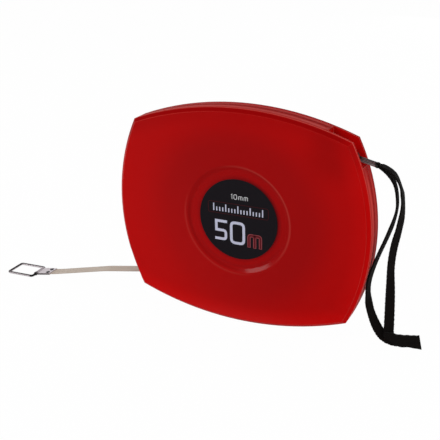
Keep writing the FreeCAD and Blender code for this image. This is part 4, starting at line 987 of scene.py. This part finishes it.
# ---------------------------------------------------------------- stage, light and camera

ROOM_LEVEL = 0.5
FLOOR_HALF_M = 6.0
FLOOR_GAP = 0.1


def seen_in_mirrors(y, z=None):
    """What a mirror sees: dark at the front and overhead, a white wall behind."""
    darkest = 0.06
    behind = y.ramp(-0.45, 0.1)
    if z is not None:
        overhead = z.ramp(0.30, 0.62)
        behind = behind * (1 - overhead * 0.85)
    return behind * (1 - darkest) + darkest


def stage():
    """A pale floor, white to the eye, that keeps the object's shadow."""
    half, low = FLOOR_HALF_M, (FLOOR_Z - FLOOR_GAP) * MM
    mesh = bpy.data.meshes.new("floor")
    corners = [(-half, -half, low), (half, -half, low), (half, half, low), (-half, half, low)]
    mesh.from_pydata(corners, [], [(0, 1, 2, 3)])
    floor = bpy.data.objects.new("floor", mesh)
    SCENE.collection.objects.link(floor)
    paper = Finish("paper", Roughness=0.9, Specular_IOR_Level=0.0)
    pale, paler = (0.86, 0.86, 0.86, 1.0), (0.9, 0.9, 0.9, 1.0)
    paper.set("Base Color", paper.blend(paper.noise(3.0), pale, paler))
    mirrored = paper.light_path("Is Glossy Ray")
    seen = paper.light_path("Is Camera Ray", "Is Glossy Ray", "Is Transmission Ray")
    behind_reel = paper.axes()[1] * 8.0 - 0.2
    level = paper.between(mirrored, 1.0, seen_in_mirrors(behind_reel))
    glow = paper.node("ShaderNodeEmission", {}, {0: level, 1: 1.0})
    lit, glow_share = Sum(paper, paper.shader.outputs[0]), 0.98
    both = paper.node("ShaderNodeMixShader", {}, {0: seen * glow_share, 1: lit, 2: glow})
    paper.feed(paper.tree.nodes["Material Output"].inputs[0], both)
    mesh.materials.append(paper.material)


def room():
    """White behind the object and for the eye; what mirrors see at the front is dark."""
    world = bpy.data.worlds.new("room")
    SCENE.world = world
    world.use_nodes = True
    tree = Tree(world.node_tree)
    back = world.node_tree.nodes["Background"]
    back.inputs[1].default_value = 1.0
    _, y, z = tree.parts(tree.node("ShaderNodeTexCoord"))
    mirrored = tree.between(tree.light_path("Is Glossy Ray"), ROOM_LEVEL, seen_in_mirrors(y, z))
    seen = tree.light_path("Is Camera Ray", "Is Transmission Ray")
    tree.feed(back.inputs[0], tree.between(seen, mirrored, 1.0))


def lamp(name, place, size, power):
    """A soft lamp, in metres and watts, turned to the reel's middle."""
    data = bpy.data.lights.new(name, "AREA")
    data.shape = "RECTANGLE"
    data.size, data.size_y = size
    data.energy = power
    made = bpy.data.objects.new(name, data)
    made.location = place
    made.rotation_euler = (-Vector(place)).to_track_quat("-Z", "Y").to_euler()
    SCENE.collection.objects.link(made)


def camera():
    """From the front, above and round to the strap's side. In radians and metres."""
    turned, raised, roll = 0.439893, 0.381065, -0.0151934
    aim, distance = Vector((0.0, 0.0026, 0.0)), 0.58262
    right = Vector((math.cos(turned), math.sin(turned), 0.0))
    away = Vector((-math.sin(turned), math.cos(turned), 0.0))
    up = away * math.sin(raised) + Vector((0.0, 0.0, math.cos(raised)))
    back = -away * math.cos(raised) + Vector((0.0, 0.0, math.sin(raised)))
    across = right * math.cos(roll) + up * math.sin(roll)
    above = up * math.cos(roll) - right * math.sin(roll)
    data = bpy.data.cameras.new("camera")
    data.sensor_width = 36.0
    data.lens = 69.41
    data.shift_x, data.shift_y = -0.04248, -0.00124
    data.clip_start = 0.01
    made = bpy.data.objects.new("camera", data)
    turn = Matrix((across, above, back)).transposed().to_4x4()
    made.matrix_world = Matrix.Translation(aim + back * distance) @ turn
    SCENE.collection.objects.link(made)
    SCENE.camera = made


camera()
strap(strap_stub())
strap_fold()
label_print_lines()
all_screws()
stage()
room()
lamp("key", place=(-0.95, -0.85, 0.6), size=(0.7, 0.9), power=8.3)
lamp("fill", place=(1.2, -0.7, 0.4), size=(1.0, 1.0), power=5.3)
lamp("top", place=(0.1, 0.2, 1.2), size=(1.0, 0.6), power=1.6)
lamp("back", place=(0.2, 1.3, 0.3), size=(1.0, 0.8), power=3.0)

SCENE.view_settings.view_transform = "Standard"
